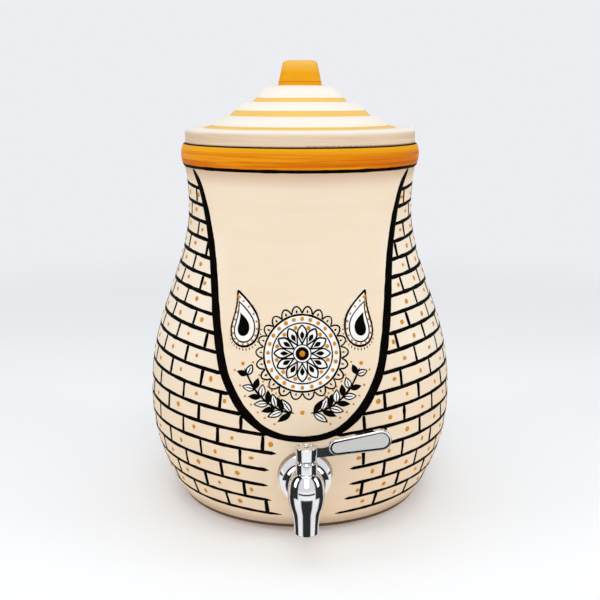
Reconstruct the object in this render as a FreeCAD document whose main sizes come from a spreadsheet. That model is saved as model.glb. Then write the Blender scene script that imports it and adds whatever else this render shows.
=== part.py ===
"""Clay water pot with a lever tap.

A thrown clay pot stands on a flat foot.  Its lid lifts straight off.  A chromed quarter-turn tap is
clamped through the lower wall: turning its lever lets water from the shank through a cross-bored plug
and out of the spout.

Pot frame: origin on the pot's axis at the foot, +Z up, the tap at the front on -Y.
Tap frame: origin where the shank's axis meets the barrel's axis, -Y out of the pot, +Z up the barrel,
+X along the closed lever.  Lengths are millimetres and angles degrees.
"""
import FreeCAD, Part
import Sketcher
import math
import os
import re

# ---------------------------------------------------------------------------------------------
# Driving dimensions
# ---------------------------------------------------------------------------------------------
SIZES = {
    # Thrown profile of the pot: the wall swings past these radii at these heights.
    "foot_contact_radius": 72.0,
    "foot_radius": 100.0,
    "foot_height": 5.5,
    "low_wall_radius": 122.4,
    "low_wall_height": 45.0,
    "belly_radius": 124.0,
    "belly_lead": 1.7,
    "belly_height": 95.0,
    "shoulder_radius": 118.5,
    "shoulder_height": 140.0,
    "waist_radius": 103.1,
    "waist_height": 180.0,
    "neck_radius": 89.4,
    "neck_lead": 4.5,
    "neck_height": 235.0,
    "mouth_radius": 92.2,
    # Clay thickness and the rolled band at the rim.
    "wall_thickness": 9.0,
    "floor_thickness": 12.0,
    "floor_corner": 14.0,
    "band_height": 273.0,
    "band_step": 0.8,
    "band_width": 17.5,
    "band_bulge": 2.0,
    "rim_edge_round": 1.2,
    "lip_round": 3.0,
    # Lid: a flat rim disc, three swelling tiers with slanted steps between them, and a knob.
    "lid_inset": 1.4,
    "lid_rim_height": 11.9,
    "lid_edge_round": 1.6,
    "lid_shoulder_round": 3.6,
    "lid_ledge_width": 14.8,
    "step_1_width": 6.5,
    "step_1_rise": 2.0,
    "tier_1_width": 14.1,
    "tier_1_rise": 7.3,
    "tier_1_swell": 24.0,
    "step_2_width": 4.5,
    "step_2_rise": 4.1,
    "tier_2_width": 13.8,
    "tier_2_rise": 6.5,
    "tier_2_swell": 16.8,
    "step_3_width": 2.9,
    "step_3_rise": 3.0,
    "tier_3_width": 15.0,
    "tier_3_rise": 9.5,
    "tier_3_swell": 18.0,
    "knob_base_radius": 17.5,
    "knob_top_radius": 14.2,
    "knob_height": 19.2,
    "knob_corner": 3.8,
    "lid_hollow_depth": 26.0,
    "spigot_depth": 12.0,
    "spigot_thickness": 7.0,
    "spigot_clearance": 1.5,
    # Tap seat: a flat pressed into the clay and a pad behind it.
    "tap_height": 54.5,
    "seat_inset": 5.5,
    "tap_lean": 3.0,
    "seat_radius": 19.6,
    "seat_flare": 5.0,
    "seat_edge": 0.4,
    "seat_cut_reach": 12.0,
    "seat_wall": 15.0,
    "pad_spread": 5.0,
    "tap_hole_clearance": 1.0,
    # Tap casting.
    "tap_reach": 25.0,
    "shank_radius": 8.0,
    "shank_spare": 3.0,
    "inlet_radius": 4.2,
    "flange_radius": 18.9,
    "flange_edge": 1.4,
    "flange_dome": 4.6,
    "flange_dish": 12.0,
    "tap_neck_radius": 11.6,
    "neck_blend": 2.5,
    "barrel_top": 12.5,
    "barrel_top_radius": 8.4,
    "barrel_swell_radius": 13.9,
    "barrel_swell_drop": 2.0,
    "barrel_shoulder_radius": 12.2,
    "barrel_shoulder_drop": 3.0,
    "barrel_waist_radius": 12.0,
    "barrel_waist_drop": 14.0,
    "spout_root_radius": 9.1,
    "spout_root_drop": 20.0,
    "spout_radius": 8.6,
    "spout_drop": 32.5,
    "spout_edge": 0.9,
    "outlet_radius": 5.5,
    # Valve chamber and plug.
    "chamber_radius": 6.0,
    "chamber_depth": 9.5,
    "counterbore_radius": 7.0,
    "counterbore_floor": 6.5,
    "plug_fit": 0.05,
    "plug_lift": 0.3,
    "plug_bore_radius": 3.8,
    "plug_bore_crown": 0.7,
    "port_radius": 3.0,
    "plug_collar_radius": 6.7,
    "plug_collar_thickness": 1.6,
    "stem_radius": 3.4,
    "stem_square": 4.7,
    "stem_square_length": 5.6,
    "ring_section": 1.36,
    "ring_squeeze": 0.02,
    "groove_width": 1.9,
    "lower_groove": -6.2,
    "upper_groove": 4.7,
    "seal_radius": 4.9,
    "seal_bore_radius": 3.2,
    "seal_reach": 10.0,
    "seal_fit": 0.05,
    "running_fit": 0.05,
    # Quarter turn and its stop.
    "quarter_turn": 90.0,
    "lug_angle": 30.0,
    "lug_height": 1.5,
    "lug_inner_radius": 4.6,
    "stop_margin": 2.0,
    "face_gap": 0.1,
    # Bonnet.
    "bonnet_radius": 7.8,
    "bonnet_top": 20.2,
    "bonnet_edge": 0.5,
    "bonnet_boss_radius": 6.3,
    "bonnet_boss_height": 1.4,
    # Lever: hub, neck and paddle, and the plate let into the paddle.
    "hub_gap": 0.3,
    "hub_radius": 7.9,
    "hub_foot_radius": 7.4,
    "hub_height": 9.4,
    "hub_edge": 0.5,
    "paddle_climb": 9.2,
    "paddle_start": 21.5,
    "paddle_length": 30.8,
    "paddle_start_height": 9.1,
    "paddle_start_radius": 5.7,
    "paddle_end_radius": 7.3,
    "paddle_thickness": 5.6,
    "paddle_edge": 0.7,
    "lever_neck_thickness": 4.0,
    "lever_neck_low": 1.4,
    "lever_neck_high": 9.0,
    "lever_neck_straight": 10.5,
    "lever_neck_sweep": 16.0,
    "plate_border": 1.25,
    "plate_thickness": 0.9,
    "plate_recess": 1.2,
    "plate_fit": 0.05,
    # Screw that holds the lever.
    "screw_head_radius": 5.85,
    "screw_head_thickness": 1.9,
    "screw_head_drop": 0.3,
    "screw_radius": 2.0,
    "screw_length": 9.0,
    "hex_socket": 3.3,
    "hex_socket_depth": 1.3,
    # Clamping stack on the shank.
    "outer_washer_radius": 17.5,
    "outer_washer_thickness": 2.5,
    "inner_washer_radius": 15.0,
    "inner_washer_thickness": 2.5,
    "backing_washer_radius": 14.0,
    "backing_washer_thickness": 1.5,
    "nut_across_flats": 24.0,
    "nut_thickness": 7.0,
    "nut_chamfer": 1.2,
    "thread_fit": 0.05,
    # How far a cut runs past the face it opens.
    "cut_margin": 1.0,
}

document = FreeCAD.newDocument("clay_water_pot")
sheet = document.addObject("Spreadsheet::Sheet", "dims")
for row, (alias, value) in enumerate(SIZES.items(), start=1):
    sheet.set(f"A{row}", alias)
    sheet.set(f"B{row}", str(value))
    sheet.setAlias(f"B{row}", alias)
document.recompute()


# ---------------------------------------------------------------------------------------------
# Helpers: expressions over the sheet, outlines held by it, and the usual features
# ---------------------------------------------------------------------------------------------
def linked(expression):
    """The expression with every size written as a cell of the sheet."""
    return re.sub(r"[a-z]\w*", lambda word: f"dims.{word[0]}" if word[0] in SIZES else word[0], expression)


def value_of(expression):
    """The expression's value now, as a plain number."""
    return float(sheet.evalExpression(linked(expression)))


def bind(target, path, expression):
    """Ties a property or a named constraint to the sheet."""
    target.setExpression(path, linked(expression))


def new_body(label):
    """A sub-part: a body whose label is its file's name."""
    body = document.addObject("PartDesign::Body", label)
    body.Label = label
    return body


def new_sketch(body, label, plane, shift=("0", "0"), lift="0", turn="0", turn_axis=(0, 0, 1)):
    """A sketch on one of the body's origin planes, shifted and turned within that plane's frame."""
    sketch = body.newObject("Sketcher::SketchObject", label)
    support = [item for item in body.Origin.OriginFeatures if item.Role == plane][0]
    sketch.AttachmentSupport = (support, "")
    sketch.MapMode = "FlatFace"
    turned = FreeCAD.Rotation(FreeCAD.Vector(*turn_axis), value_of(turn))
    moved = FreeCAD.Vector(value_of(shift[0]), value_of(shift[1]), value_of(lift))
    sketch.AttachmentOffset = FreeCAD.Placement(moved, turned)
    offsets = {"Base.x": shift[0], "Base.y": shift[1], "Base.z": lift, "Rotation.Angle": turn}
    for path, expression in offsets.items():
        if expression != "0":
            bind(sketch, f"AttachmentOffset.{path}", expression)
    return sketch


def hold(sketch, geometry, place, name, point):
    """Holds one point of a sketch at its two expressions."""
    for kind, expression in zip(("DistanceX", "DistanceY"), point):
        index = sketch.addConstraint(Sketcher.Constraint(kind, -1, 1, geometry, place, value_of(expression)))
        sketch.renameConstraint(index, f"{name}_{kind[-1].lower()}")
        if re.search("[a-z]", expression):
            bind(sketch, f"Constraints.{name}_{kind[-1].lower()}", expression)


def vector(point):
    """A sketch point at the present sizes."""
    return FreeCAD.Vector(value_of(point[0]), value_of(point[1]), 0)


class Arc:
    """An arc of a given radius between two corners; side is +1 when it bulges to the left of the way."""

    def __init__(self, radius, side):
        self.radius = radius
        self.side = side

    def draw(self, sketch, name, start, end):
        first, last = vector(start), vector(end)
        chord = last - first
        radius = value_of(self.radius)
        normal = FreeCAD.Vector(-chord.y, chord.x, 0) * (self.side / chord.Length)
        to_centre = math.sqrt(max(radius ** 2 - (chord.Length / 2) ** 2, 0))
        middle = (first + last) * 0.5 + normal * (radius - to_centre)
        arc = sketch.addGeometry(Part.Arc(first, middle, last))
        # A sketch stores an arc counter-clockwise, so a left-bulging arc is held from its far end.
        ends = (2, 1) if self.side > 0 else (1, 2)
        index = sketch.addConstraint(Sketcher.Constraint("Radius", arc, radius))
        sketch.renameConstraint(index, f"{name}_radius")
        bind(sketch, f"Constraints.{name}_radius", self.radius)
        return arc, ends


class Spline:
    """A cubic spline between two corners, led by the control points between them."""

    def __init__(self, *leads):
        self.leads = leads

    def draw(self, sketch, name, start, end):
        curve = Part.BSplineCurve()
        points = [start, *self.leads, end]
        curve.buildFromPolesMultsKnots([vector(point) for point in points], degree=3, periodic=False)
        spline = sketch.addGeometry(curve)
        sketch.exposeInternalGeometry(spline)
        for number, lead in enumerate(self.leads, start=1):
            hold(sketch, spline + 1 + number, 3, f"{name}_lead_{number}", lead)
        return spline, (1, 2)


def outline(sketch, *path):
    """Draws a closed outline: corner points, with an Arc or a Spline between two where it isn't straight."""
    corners = [step for step in path if isinstance(step, tuple)]
    curves = {}
    for before, step in zip(path, path[1:]):
        if not isinstance(step, tuple):
            curves[before] = step
    edges = []
    for number, corner in enumerate(corners):
        following = corners[(number + 1) % len(corners)]
        if corner in curves:
            edges.append(curves[corner].draw(sketch, f"edge_{number}", corner, following))
        else:
            line = sketch.addGeometry(Part.LineSegment(vector(corner), vector(following)))
            edges.append((line, (1, 2)))
    for number, corner in enumerate(corners):
        geometry, ends = edges[number]
        previous, previous_ends = edges[number - 1]
        sketch.addConstraint(Sketcher.Constraint("Coincident", previous, previous_ends[1], geometry, ends[0]))
        hold(sketch, geometry, ends[0], f"corner_{number}", corner)
    return sketch


def circle(sketch, centre, radius, name="circle"):
    """A full circle held by its centre and radius."""
    normal = FreeCAD.Vector(0, 0, 1)
    ring = sketch.addGeometry(Part.Circle(vector(centre), normal, value_of(radius)))
    hold(sketch, ring, 3, f"{name}_centre", centre)
    index = sketch.addConstraint(Sketcher.Constraint("Radius", ring, value_of(radius)))
    sketch.renameConstraint(index, f"{name}_radius")
    bind(sketch, f"Constraints.{name}_radius", radius)
    return sketch


def finish_feature(body, feature, adds):
    """Recomputes the body at the new feature and checks that it changed the solid the right way."""
    before = feature.BaseFeature.Shape.Volume if feature.BaseFeature else 0.0
    body.Tip = feature
    document.recompute()
    change = feature.Shape.Volume - before
    if (change <= 0) if adds else (change >= 0):
        raise ValueError(f"{body.Label}: {feature.Label} changed the volume by {change:.3f}")
    return feature


def revolve(body, sketch, axis="V_Axis", angle="360", middle=False, cut=False):
    """Spins a sketch about one of its own axes, to add clay or metal or to cut it away."""
    kind = "PartDesign::Groove" if cut else "PartDesign::Revolution"
    feature = body.newObject(kind, f"{sketch.Label}_turned")
    feature.Profile = sketch
    feature.ReferenceAxis = (sketch, [axis])
    feature.Midplane = middle
    feature.Angle = value_of(angle)
    if angle != "360":
        bind(feature, "Angle", angle)
    return finish_feature(body, feature, adds=not cut)


def pad(body, sketch, length, middle=False, backwards=False):
    """Extrudes a sketch to add material."""
    feature = body.newObject("PartDesign::Pad", f"{sketch.Label}_pad")
    feature.Profile = sketch
    feature.Midplane = middle
    feature.Reversed = backwards
    bind(feature, "Length", length)
    return finish_feature(body, feature, adds=True)


def pocket(body, sketch, length, middle=False, backwards=False):
    """Extrudes a sketch to cut material away."""
    feature = body.newObject("PartDesign::Pocket", f"{sketch.Label}_pocket")
    feature.Profile = sketch
    feature.Midplane = middle
    feature.Reversed = backwards
    bind(feature, "Length", length)
    return finish_feature(body, feature, adds=False)


def fillet(body, radius, wanted, adds=False):
    """Rounds the edges of the body's present shape for which wanted(edge) holds."""
    base = body.Tip
    names = [f"Edge{n}" for n, edge in enumerate(base.Shape.Edges, start=1) if wanted(edge)]
    if not names:
        raise ValueError(f"{body.Label}: no edge to round by {radius}")
    feature = body.newObject("PartDesign::Fillet", "rounding")
    feature.Base = (base, names)
    bind(feature, "Radius", radius)
    return finish_feature(body, feature, adds)


def is_ring(edge, radius, axial, axis="z", slack=0.01):
    """Whether an edge is a circle of this radius about the body's axis at this place along it."""
    if not isinstance(edge.Curve, Part.Circle):
        return False
    centre = edge.Curve.Center
    along = {"z": centre.z, "y": centre.y}[axis]
    across = math.hypot(centre.x, {"z": centre.y, "y": centre.z}[axis])
    near = abs(edge.Curve.Radius - value_of(radius)) < slack and abs(along - value_of(axial)) < slack
    return near and across < slack


# ---------------------------------------------------------------------------------------------
# Pot: thrown in one piece, hollowed, with a rolled band at the rim and a flat seat for the tap
# ---------------------------------------------------------------------------------------------
RIM_TOP = "band_height + band_width"
RIM_RADIUS = "mouth_radius + band_step"
FOOT_EDGE = "((foot_radius - foot_contact_radius)^2 + foot_height^2) / (2 * foot_height)"
BAND_ROLL = "((band_width - band_step)^2 / 4 + band_bulge^2) / (2 * band_bulge)"
MOUTH_INSIDE = "mouth_radius - wall_thickness"
FLOOR_RADIUS = "foot_radius - wall_thickness"
SEAT_REACH = "belly_radius - seat_inset"
WALL_LEADS = (
    ("low_wall_radius", "low_wall_height"),
    ("belly_radius + belly_lead", "belly_height"),
    ("shoulder_radius", "shoulder_height"),
    ("waist_radius", "waist_height"),
    ("neck_radius - neck_lead", "neck_height"),
)
INNER_LEADS = tuple((f"{radius} - wall_thickness", height) for radius, height in WALL_LEADS)


def make_pot():
    pot = new_body("pot_body")

    thrown = new_sketch(pot, "thrown_profile", "XZ_Plane")
    outline(
        thrown,
        ("0", "0"),
        ("foot_contact_radius", "0"), Arc(FOOT_EDGE, -1),
        ("foot_radius", "foot_height"), Spline(*WALL_LEADS),
        ("mouth_radius", "band_height"),
        (RIM_RADIUS, "band_height + band_step"), Arc(BAND_ROLL, -1),
        (RIM_RADIUS, RIM_TOP),
        ("0", RIM_TOP),
    )
    revolve(pot, thrown)
    fillet(pot, "rim_edge_round", lambda edge: is_ring(edge, RIM_RADIUS, RIM_TOP))

    cavity = new_sketch(pot, "cavity_profile", "XZ_Plane")
    outline(
        cavity,
        ("0", "floor_thickness"),
        (FLOOR_RADIUS, "floor_thickness"), Spline(*INNER_LEADS),
        (MOUTH_INSIDE, "band_height"),
        (MOUTH_INSIDE, f"{RIM_TOP} + cut_margin"),
        ("0", f"{RIM_TOP} + cut_margin"),
    )
    revolve(pot, cavity, cut=True)
    fillet(pot, "lip_round", lambda edge: is_ring(edge, MOUTH_INSIDE, RIM_TOP))
    fillet(pot, "floor_corner", lambda edge: is_ring(edge, FLOOR_RADIUS, "floor_thickness"), adds=True)

    # The clay is pressed flat outside and padded inside where the tap passes through.
    seat_place = {"shift": (f"-({SEAT_REACH})", "tap_height"), "turn": "-tap_lean"}
    seat_pad = new_sketch(pot, "tap_pad", "YZ_Plane", **seat_place)
    outline(
        seat_pad,
        ("0", "0"),
        ("0", "seat_radius"),
        ("seat_wall / 2", "seat_radius + pad_spread"),
        ("seat_wall", "seat_radius"),
        ("seat_wall", "0"),
    )
    revolve(pot, seat_pad, "H_Axis")

    seat_cut = new_sketch(pot, "tap_seat", "YZ_Plane", **seat_place)
    outline(
        seat_cut,
        ("-seat_cut_reach", "0"),
        ("-seat_cut_reach", "seat_radius + seat_flare"),
        ("0", "seat_radius + seat_edge"),
        ("0", "shank_radius + tap_hole_clearance"),
        ("seat_wall + cut_margin", "shank_radius + tap_hole_clearance"),
        ("seat_wall + cut_margin", "0"),
    )
    revolve(pot, seat_cut, "H_Axis", cut=True)


# ---------------------------------------------------------------------------------------------
# Lid: rim disc, three swelling tiers and a knob above; a dished hollow and a locating ring below
# ---------------------------------------------------------------------------------------------
LID_RADIUS = f"{RIM_RADIUS} - lid_inset"
LID_LEDGE = f"{RIM_TOP} + lid_rim_height"
SPIGOT_OUTSIDE = f"{MOUTH_INSIDE} - spigot_clearance"
SPIGOT_INSIDE = f"{SPIGOT_OUTSIDE} - spigot_thickness"
LID_DOME = f"(({SPIGOT_INSIDE})^2 + lid_hollow_depth^2) / (2 * lid_hollow_depth)"


def make_lid():
    lid = new_body("lid")

    radius = f"{LID_RADIUS} - lid_ledge_width"
    height = LID_LEDGE
    tiers = [(radius, height)]
    for number in (1, 2, 3):
        radius = f"{radius} - step_{number}_width"
        height = f"{height} + step_{number}_rise"
        tiers += [(radius, height), Arc(f"tier_{number}_swell", -1)]
        radius = f"{radius} - tier_{number}_width"
        height = f"{height} + tier_{number}_rise"
        tiers.append((radius, height))

    section = new_sketch(lid, "lid_profile", "XZ_Plane")
    outline(
        section,
        ("0", f"{RIM_TOP} + lid_hollow_depth"), Arc(LID_DOME, 1),
        (SPIGOT_INSIDE, RIM_TOP),
        (SPIGOT_INSIDE, f"{RIM_TOP} - spigot_depth"),
        (SPIGOT_OUTSIDE, f"{RIM_TOP} - spigot_depth"),
        (SPIGOT_OUTSIDE, RIM_TOP),
        (f"{LID_RADIUS} - lid_edge_round", RIM_TOP), Arc("lid_edge_round", -1),
        (LID_RADIUS, f"{RIM_TOP} + lid_edge_round"),
        (LID_RADIUS, f"{LID_LEDGE} - lid_shoulder_round"), Arc("lid_shoulder_round", -1),
        (f"{LID_RADIUS} - lid_shoulder_round", LID_LEDGE),
        *tiers,
        ("knob_base_radius", height),
        ("knob_top_radius", f"{height} + knob_height - knob_corner"), Arc("knob_corner", -1),
        ("knob_top_radius - knob_corner", f"{height} + knob_height"),
        ("0", f"{height} + knob_height"),
    )
    revolve(lid, section)


# ---------------------------------------------------------------------------------------------
# Tap casting: a teardrop barrel and spout on +Z, and a neck, flange and hollow shank along +Y
# ---------------------------------------------------------------------------------------------
FLANGE_BACK = "tap_reach - outer_washer_thickness"
CLAY_INSIDE = "tap_reach + seat_wall"
BACKING_FACE = f"{CLAY_INSIDE} + inner_washer_thickness"
NUT_FACE = f"{BACKING_FACE} + backing_washer_thickness"
NUT_END = f"{NUT_FACE} + nut_thickness"
SHANK_END = f"{NUT_END} + shank_spare"


def place_in_tap(body):
    """Puts a piece that is drawn in the tap's frame where the tap sits on the pot."""
    body.Placement = FreeCAD.Placement(FreeCAD.Vector(0, 0, 0), FreeCAD.Rotation(FreeCAD.Vector(1, 0, 0), -1))
    bind(body, "Placement.Base.y", f"-({SEAT_REACH}) - tap_reach * cos(tap_lean)")
    bind(body, "Placement.Base.z", "tap_height + tap_reach * sin(tap_lean)")
    bind(body, "Placement.Rotation.Angle", "-tap_lean")


def joins_neck_to_barrel(edge):
    """Whether an edge is where the neck runs into the barrel, behind the barrel's axis."""
    middle = edge.valueAt((edge.FirstParameter + edge.LastParameter) / 2)
    on_neck = abs(math.hypot(middle.x, middle.z) - value_of("tap_neck_radius")) < 0.05
    behind = 0 < middle.y < value_of(f"{FLANGE_BACK} - flange_edge - flange_dome") - 0.1
    return on_neck and behind and not isinstance(edge.Curve, Part.Line)


def make_tap_body():
    tap = new_body("tap_body")

    barrel = new_sketch(tap, "barrel_profile", "XZ_Plane")
    outline(
        barrel,
        ("0", "barrel_top"),
        ("0", "-spout_drop"),
        ("spout_radius - spout_edge", "-spout_drop"), Arc("spout_edge", -1),
        ("spout_radius", "spout_edge - spout_drop"),
        Spline(
            ("spout_root_radius", "-spout_root_drop"),
            ("barrel_waist_radius", "-barrel_waist_drop"),
            ("barrel_swell_radius", "-barrel_swell_drop"),
            ("barrel_shoulder_radius", "barrel_top - barrel_shoulder_drop"),
        ),
        ("barrel_top_radius", "barrel_top"),
    )
    revolve(tap, barrel)

    shank = new_sketch(tap, "shank_profile", "YZ_Plane")
    outline(
        shank,
        ("0", "0"),
        (SHANK_END, "0"),
        (SHANK_END, "shank_radius"),
        (FLANGE_BACK, "shank_radius"),
        (FLANGE_BACK, "flange_radius"),
        (f"{FLANGE_BACK} - flange_edge", "flange_radius"), Arc("flange_dish", 1),
        (f"{FLANGE_BACK} - flange_edge - flange_dome", "tap_neck_radius"),
        ("0", "tap_neck_radius"),
    )
    revolve(tap, shank, "H_Axis")
    fillet(tap, "neck_blend", joins_neck_to_barrel, adds=True)

    chamber = new_sketch(tap, "chamber_profile", "XZ_Plane")
    outline(
        chamber,
        ("0", "barrel_top + cut_margin"),
        ("0", "-spout_drop - cut_margin"),
        ("outlet_radius", "-spout_drop - cut_margin"),
        ("outlet_radius", "-chamber_depth"),
        ("chamber_radius", "-chamber_depth"),
        ("chamber_radius", "counterbore_floor"),
        ("counterbore_radius", "counterbore_floor"),
        ("counterbore_radius", "barrel_top + cut_margin"),
    )
    revolve(tap, chamber, cut=True)

    inlet = new_sketch(tap, "inlet_profile", "YZ_Plane")
    outline(
        inlet,
        ("0", "0"),
        (f"{SHANK_END} + cut_margin", "0"),
        (f"{SHANK_END} + cut_margin", "inlet_radius"),
        ("seal_reach", "inlet_radius"),
        ("seal_reach", "seal_radius + seal_fit"),
        ("0", "seal_radius + seal_fit"),
    )
    revolve(tap, inlet, "H_Axis", cut=True)
    place_in_tap(tap)


# ---------------------------------------------------------------------------------------------
# Clamping stack: rubber either side of the clay, a steel washer and the lock nut, all on the shank
# ---------------------------------------------------------------------------------------------
def make_washer(label, radius, near, far):
    """A flat ring on the shank between two places along it."""
    washer = new_body(label)
    section = new_sketch(washer, f"{label}_section", "YZ_Plane")
    outline(
        section,
        (near, "shank_radius + thread_fit"),
        (far, "shank_radius + thread_fit"),
        (far, radius),
        (near, radius),
    )
    revolve(washer, section, "H_Axis")
    place_in_tap(washer)


def hexagon_corners(across_flats):
    """The six corners of a hexagon about the origin, from its width across the flats."""
    reach = f"({across_flats}) / sqrt(3)"
    return [(f"{reach} * cos({turn})", f"{reach} * sin({turn})") for turn in range(0, 360, 60)]


def make_lock_nut():
    nut = new_body("lock_nut")
    hexagon = new_sketch(nut, "nut_hexagon", "XZ_Plane", lift=f"-({NUT_END})")
    outline(hexagon, *hexagon_corners("nut_across_flats"))
    pad(nut, hexagon, "nut_thickness")

    bore = new_sketch(nut, "nut_bore", "YZ_Plane")
    outline(
        bore,
        (f"{NUT_FACE} - cut_margin", "0"),
        (f"{NUT_END} + cut_margin", "0"),
        (f"{NUT_END} + cut_margin", "shank_radius + thread_fit"),
        (f"{NUT_FACE} - cut_margin", "shank_radius + thread_fit"),
    )
    revolve(nut, bore, "H_Axis", cut=True)

    past_corners = "nut_across_flats / sqrt(3) + cut_margin"
    corner_cut = new_sketch(nut, "nut_chamfer", "YZ_Plane")
    outline(
        corner_cut,
        (NUT_END, "nut_across_flats / 2"),
        (NUT_END, past_corners),
        (f"{NUT_END} - nut_chamfer", past_corners),
    )
    revolve(nut, corner_cut, "H_Axis", cut=True)
    place_in_tap(nut)


# ---------------------------------------------------------------------------------------------
# Valve: a cross-bored plug that turns in the chamber, its two rings and the seal at the inlet
# ---------------------------------------------------------------------------------------------
PLUG_RADIUS = "chamber_radius - plug_fit"
PLUG_FOOT = "plug_lift - chamber_depth"
COLLAR_FOOT = "counterbore_floor + face_gap"
COLLAR_TOP = f"{COLLAR_FOOT} + plug_collar_thickness"
HUB_FOOT = "bonnet_top + bonnet_boss_height + hub_gap"
HUB_TOP = f"{HUB_FOOT} + hub_height"
SCREW_SEAT = f"{HUB_TOP} - screw_head_drop - screw_head_thickness"
RING_GROOVE_FLOOR = "chamber_radius - ring_section - 2 * ring_squeeze"
SQUARE_TOP = f"{HUB_FOOT} + stem_square_length"


def square_corners(side):
    """The four corners of a square about the origin."""
    half = f"({side}) / 2"
    return [(half, half), (f"-{half}", half), (f"-{half}", f"-{half}"), (half, f"-{half}")]


def make_valve_plug():
    plug = new_body("valve_plug")
    body_section = new_sketch(plug, "plug_profile", "XZ_Plane")
    grooves = []
    for middle in ("lower_groove", "upper_groove"):
        low, high = f"{middle} - groove_width / 2", f"{middle} + groove_width / 2"
        grooves += [(PLUG_RADIUS, low), (RING_GROOVE_FLOOR, low)]
        grooves += [(RING_GROOVE_FLOOR, high), (PLUG_RADIUS, high)]
    outline(
        body_section,
        ("plug_bore_radius", PLUG_FOOT),
        (PLUG_RADIUS, PLUG_FOOT),
        *grooves,
        (PLUG_RADIUS, COLLAR_FOOT),
        ("plug_collar_radius", COLLAR_FOOT),
        ("plug_collar_radius", COLLAR_TOP),
        ("stem_radius", COLLAR_TOP),
        ("stem_radius", HUB_FOOT),
        ("0", HUB_FOOT),
        ("0", "port_radius + plug_bore_crown"),
        ("plug_bore_radius", "port_radius + plug_bore_crown"),
    )
    revolve(plug, body_section)

    square = new_sketch(plug, "stem_square_section", "XY_Plane", lift=HUB_FOOT)
    outline(square, *square_corners("stem_square"))
    pad(plug, square, "stem_square_length")

    # Closed, the port looks along -X; a quarter turn brings it round to the inlet.
    port = new_sketch(plug, "side_port", "YZ_Plane")
    circle(port, ("0", "0"), "port_radius")
    pocket(plug, port, "chamber_radius + cut_margin")

    lug = new_sketch(plug, "stop_lug", "XZ_Plane")
    outline(
        lug,
        ("lug_inner_radius", f"{COLLAR_TOP} - face_gap"),
        ("plug_collar_radius", f"{COLLAR_TOP} - face_gap"),
        ("plug_collar_radius", f"{COLLAR_TOP} + lug_height"),
        ("lug_inner_radius", f"{COLLAR_TOP} + lug_height"),
    )
    revolve(plug, lug, angle="lug_angle", middle=True)

    screw_hole = new_sketch(plug, "screw_hole", "XZ_Plane")
    outline(
        screw_hole,
        ("0", f"{SCREW_SEAT} - screw_length - face_gap"),
        ("screw_radius + thread_fit", f"{SCREW_SEAT} - screw_length - face_gap"),
        ("screw_radius + thread_fit", f"{SQUARE_TOP} + cut_margin"),
        ("0", f"{SQUARE_TOP} + cut_margin"),
    )
    revolve(plug, screw_hole, cut=True)
    place_in_tap(plug)


def make_plug_ring(label, middle):
    """A rubber ring in one of the plug's grooves."""
    ring = new_body(label)
    section = new_sketch(ring, f"{label}_section", "XZ_Plane")
    circle(section, ("chamber_radius - ring_squeeze - ring_section / 2", middle), "ring_section / 2")
    revolve(ring, section)
    place_in_tap(ring)


def make_port_seal():
    seal = new_body("port_seal")
    section = new_sketch(seal, "seal_section", "YZ_Plane")
    outline(
        section,
        ("0", "seal_bore_radius"),
        ("seal_reach", "seal_bore_radius"),
        ("seal_reach", "seal_radius"),
        ("0", "seal_radius"),
    )
    revolve(seal, section, "H_Axis")

    # Its front is hollowed to the plug's own curve.
    front = new_sketch(seal, "seal_front", "XZ_Plane")
    outline(
        front,
        ("0", "-2 * seal_radius"),
        (f"{PLUG_RADIUS} + running_fit", "-2 * seal_radius"),
        (f"{PLUG_RADIUS} + running_fit", "2 * seal_radius"),
        ("0", "2 * seal_radius"),
    )
    revolve(seal, front, cut=True)
    place_in_tap(seal)


# ---------------------------------------------------------------------------------------------
# Bonnet: the turned collar that closes the chamber; a slot in its spigot stops the plug's lug
# ---------------------------------------------------------------------------------------------
SPIGOT_FOOT = f"{COLLAR_TOP} + face_gap"
SLOT_TOP = f"{COLLAR_TOP} + lug_height + face_gap"


def make_bonnet():
    bonnet = new_body("bonnet")
    section = new_sketch(bonnet, "bonnet_profile", "XZ_Plane")
    outline(
        section,
        ("stem_radius + running_fit", SPIGOT_FOOT),
        ("counterbore_radius - thread_fit", SPIGOT_FOOT),
        ("counterbore_radius - thread_fit", "barrel_top"),
        ("bonnet_radius - bonnet_edge", "barrel_top"), Arc("bonnet_edge", -1),
        ("bonnet_radius", "barrel_top + bonnet_edge"),
        ("bonnet_radius", "bonnet_top - bonnet_edge"), Arc("bonnet_edge", -1),
        ("bonnet_radius - bonnet_edge", "bonnet_top"),
        ("bonnet_boss_radius", "bonnet_top"),
        ("bonnet_boss_radius", "bonnet_top + bonnet_boss_height"),
        ("stem_radius + running_fit", "bonnet_top + bonnet_boss_height"),
    )
    revolve(bonnet, section)

    slot = new_sketch(bonnet, "stop_slot", "XZ_Plane", turn="-quarter_turn / 2", turn_axis=(0, 1, 0))
    outline(
        slot,
        ("lug_inner_radius - face_gap", f"{SPIGOT_FOOT} - cut_margin"),
        ("counterbore_radius + cut_margin", f"{SPIGOT_FOOT} - cut_margin"),
        ("counterbore_radius + cut_margin", SLOT_TOP),
        ("lug_inner_radius - face_gap", SLOT_TOP),
    )
    revolve(bonnet, slot, angle="quarter_turn + lug_angle + 2 * stop_margin", middle=True, cut=True)
    place_in_tap(bonnet)


# ---------------------------------------------------------------------------------------------
# Lever: a tapered hub on the stem's square, a swept neck and a paddle with a plate let into its face
# ---------------------------------------------------------------------------------------------
PADDLE_REACH = "paddle_length / cos(paddle_climb)"
PADDLE_START = ("paddle_start", f"{HUB_FOOT} + paddle_start_height")
PADDLE_END = ("paddle_start + paddle_length", f"{PADDLE_START[1]} + paddle_length * tan(paddle_climb)")


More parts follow.
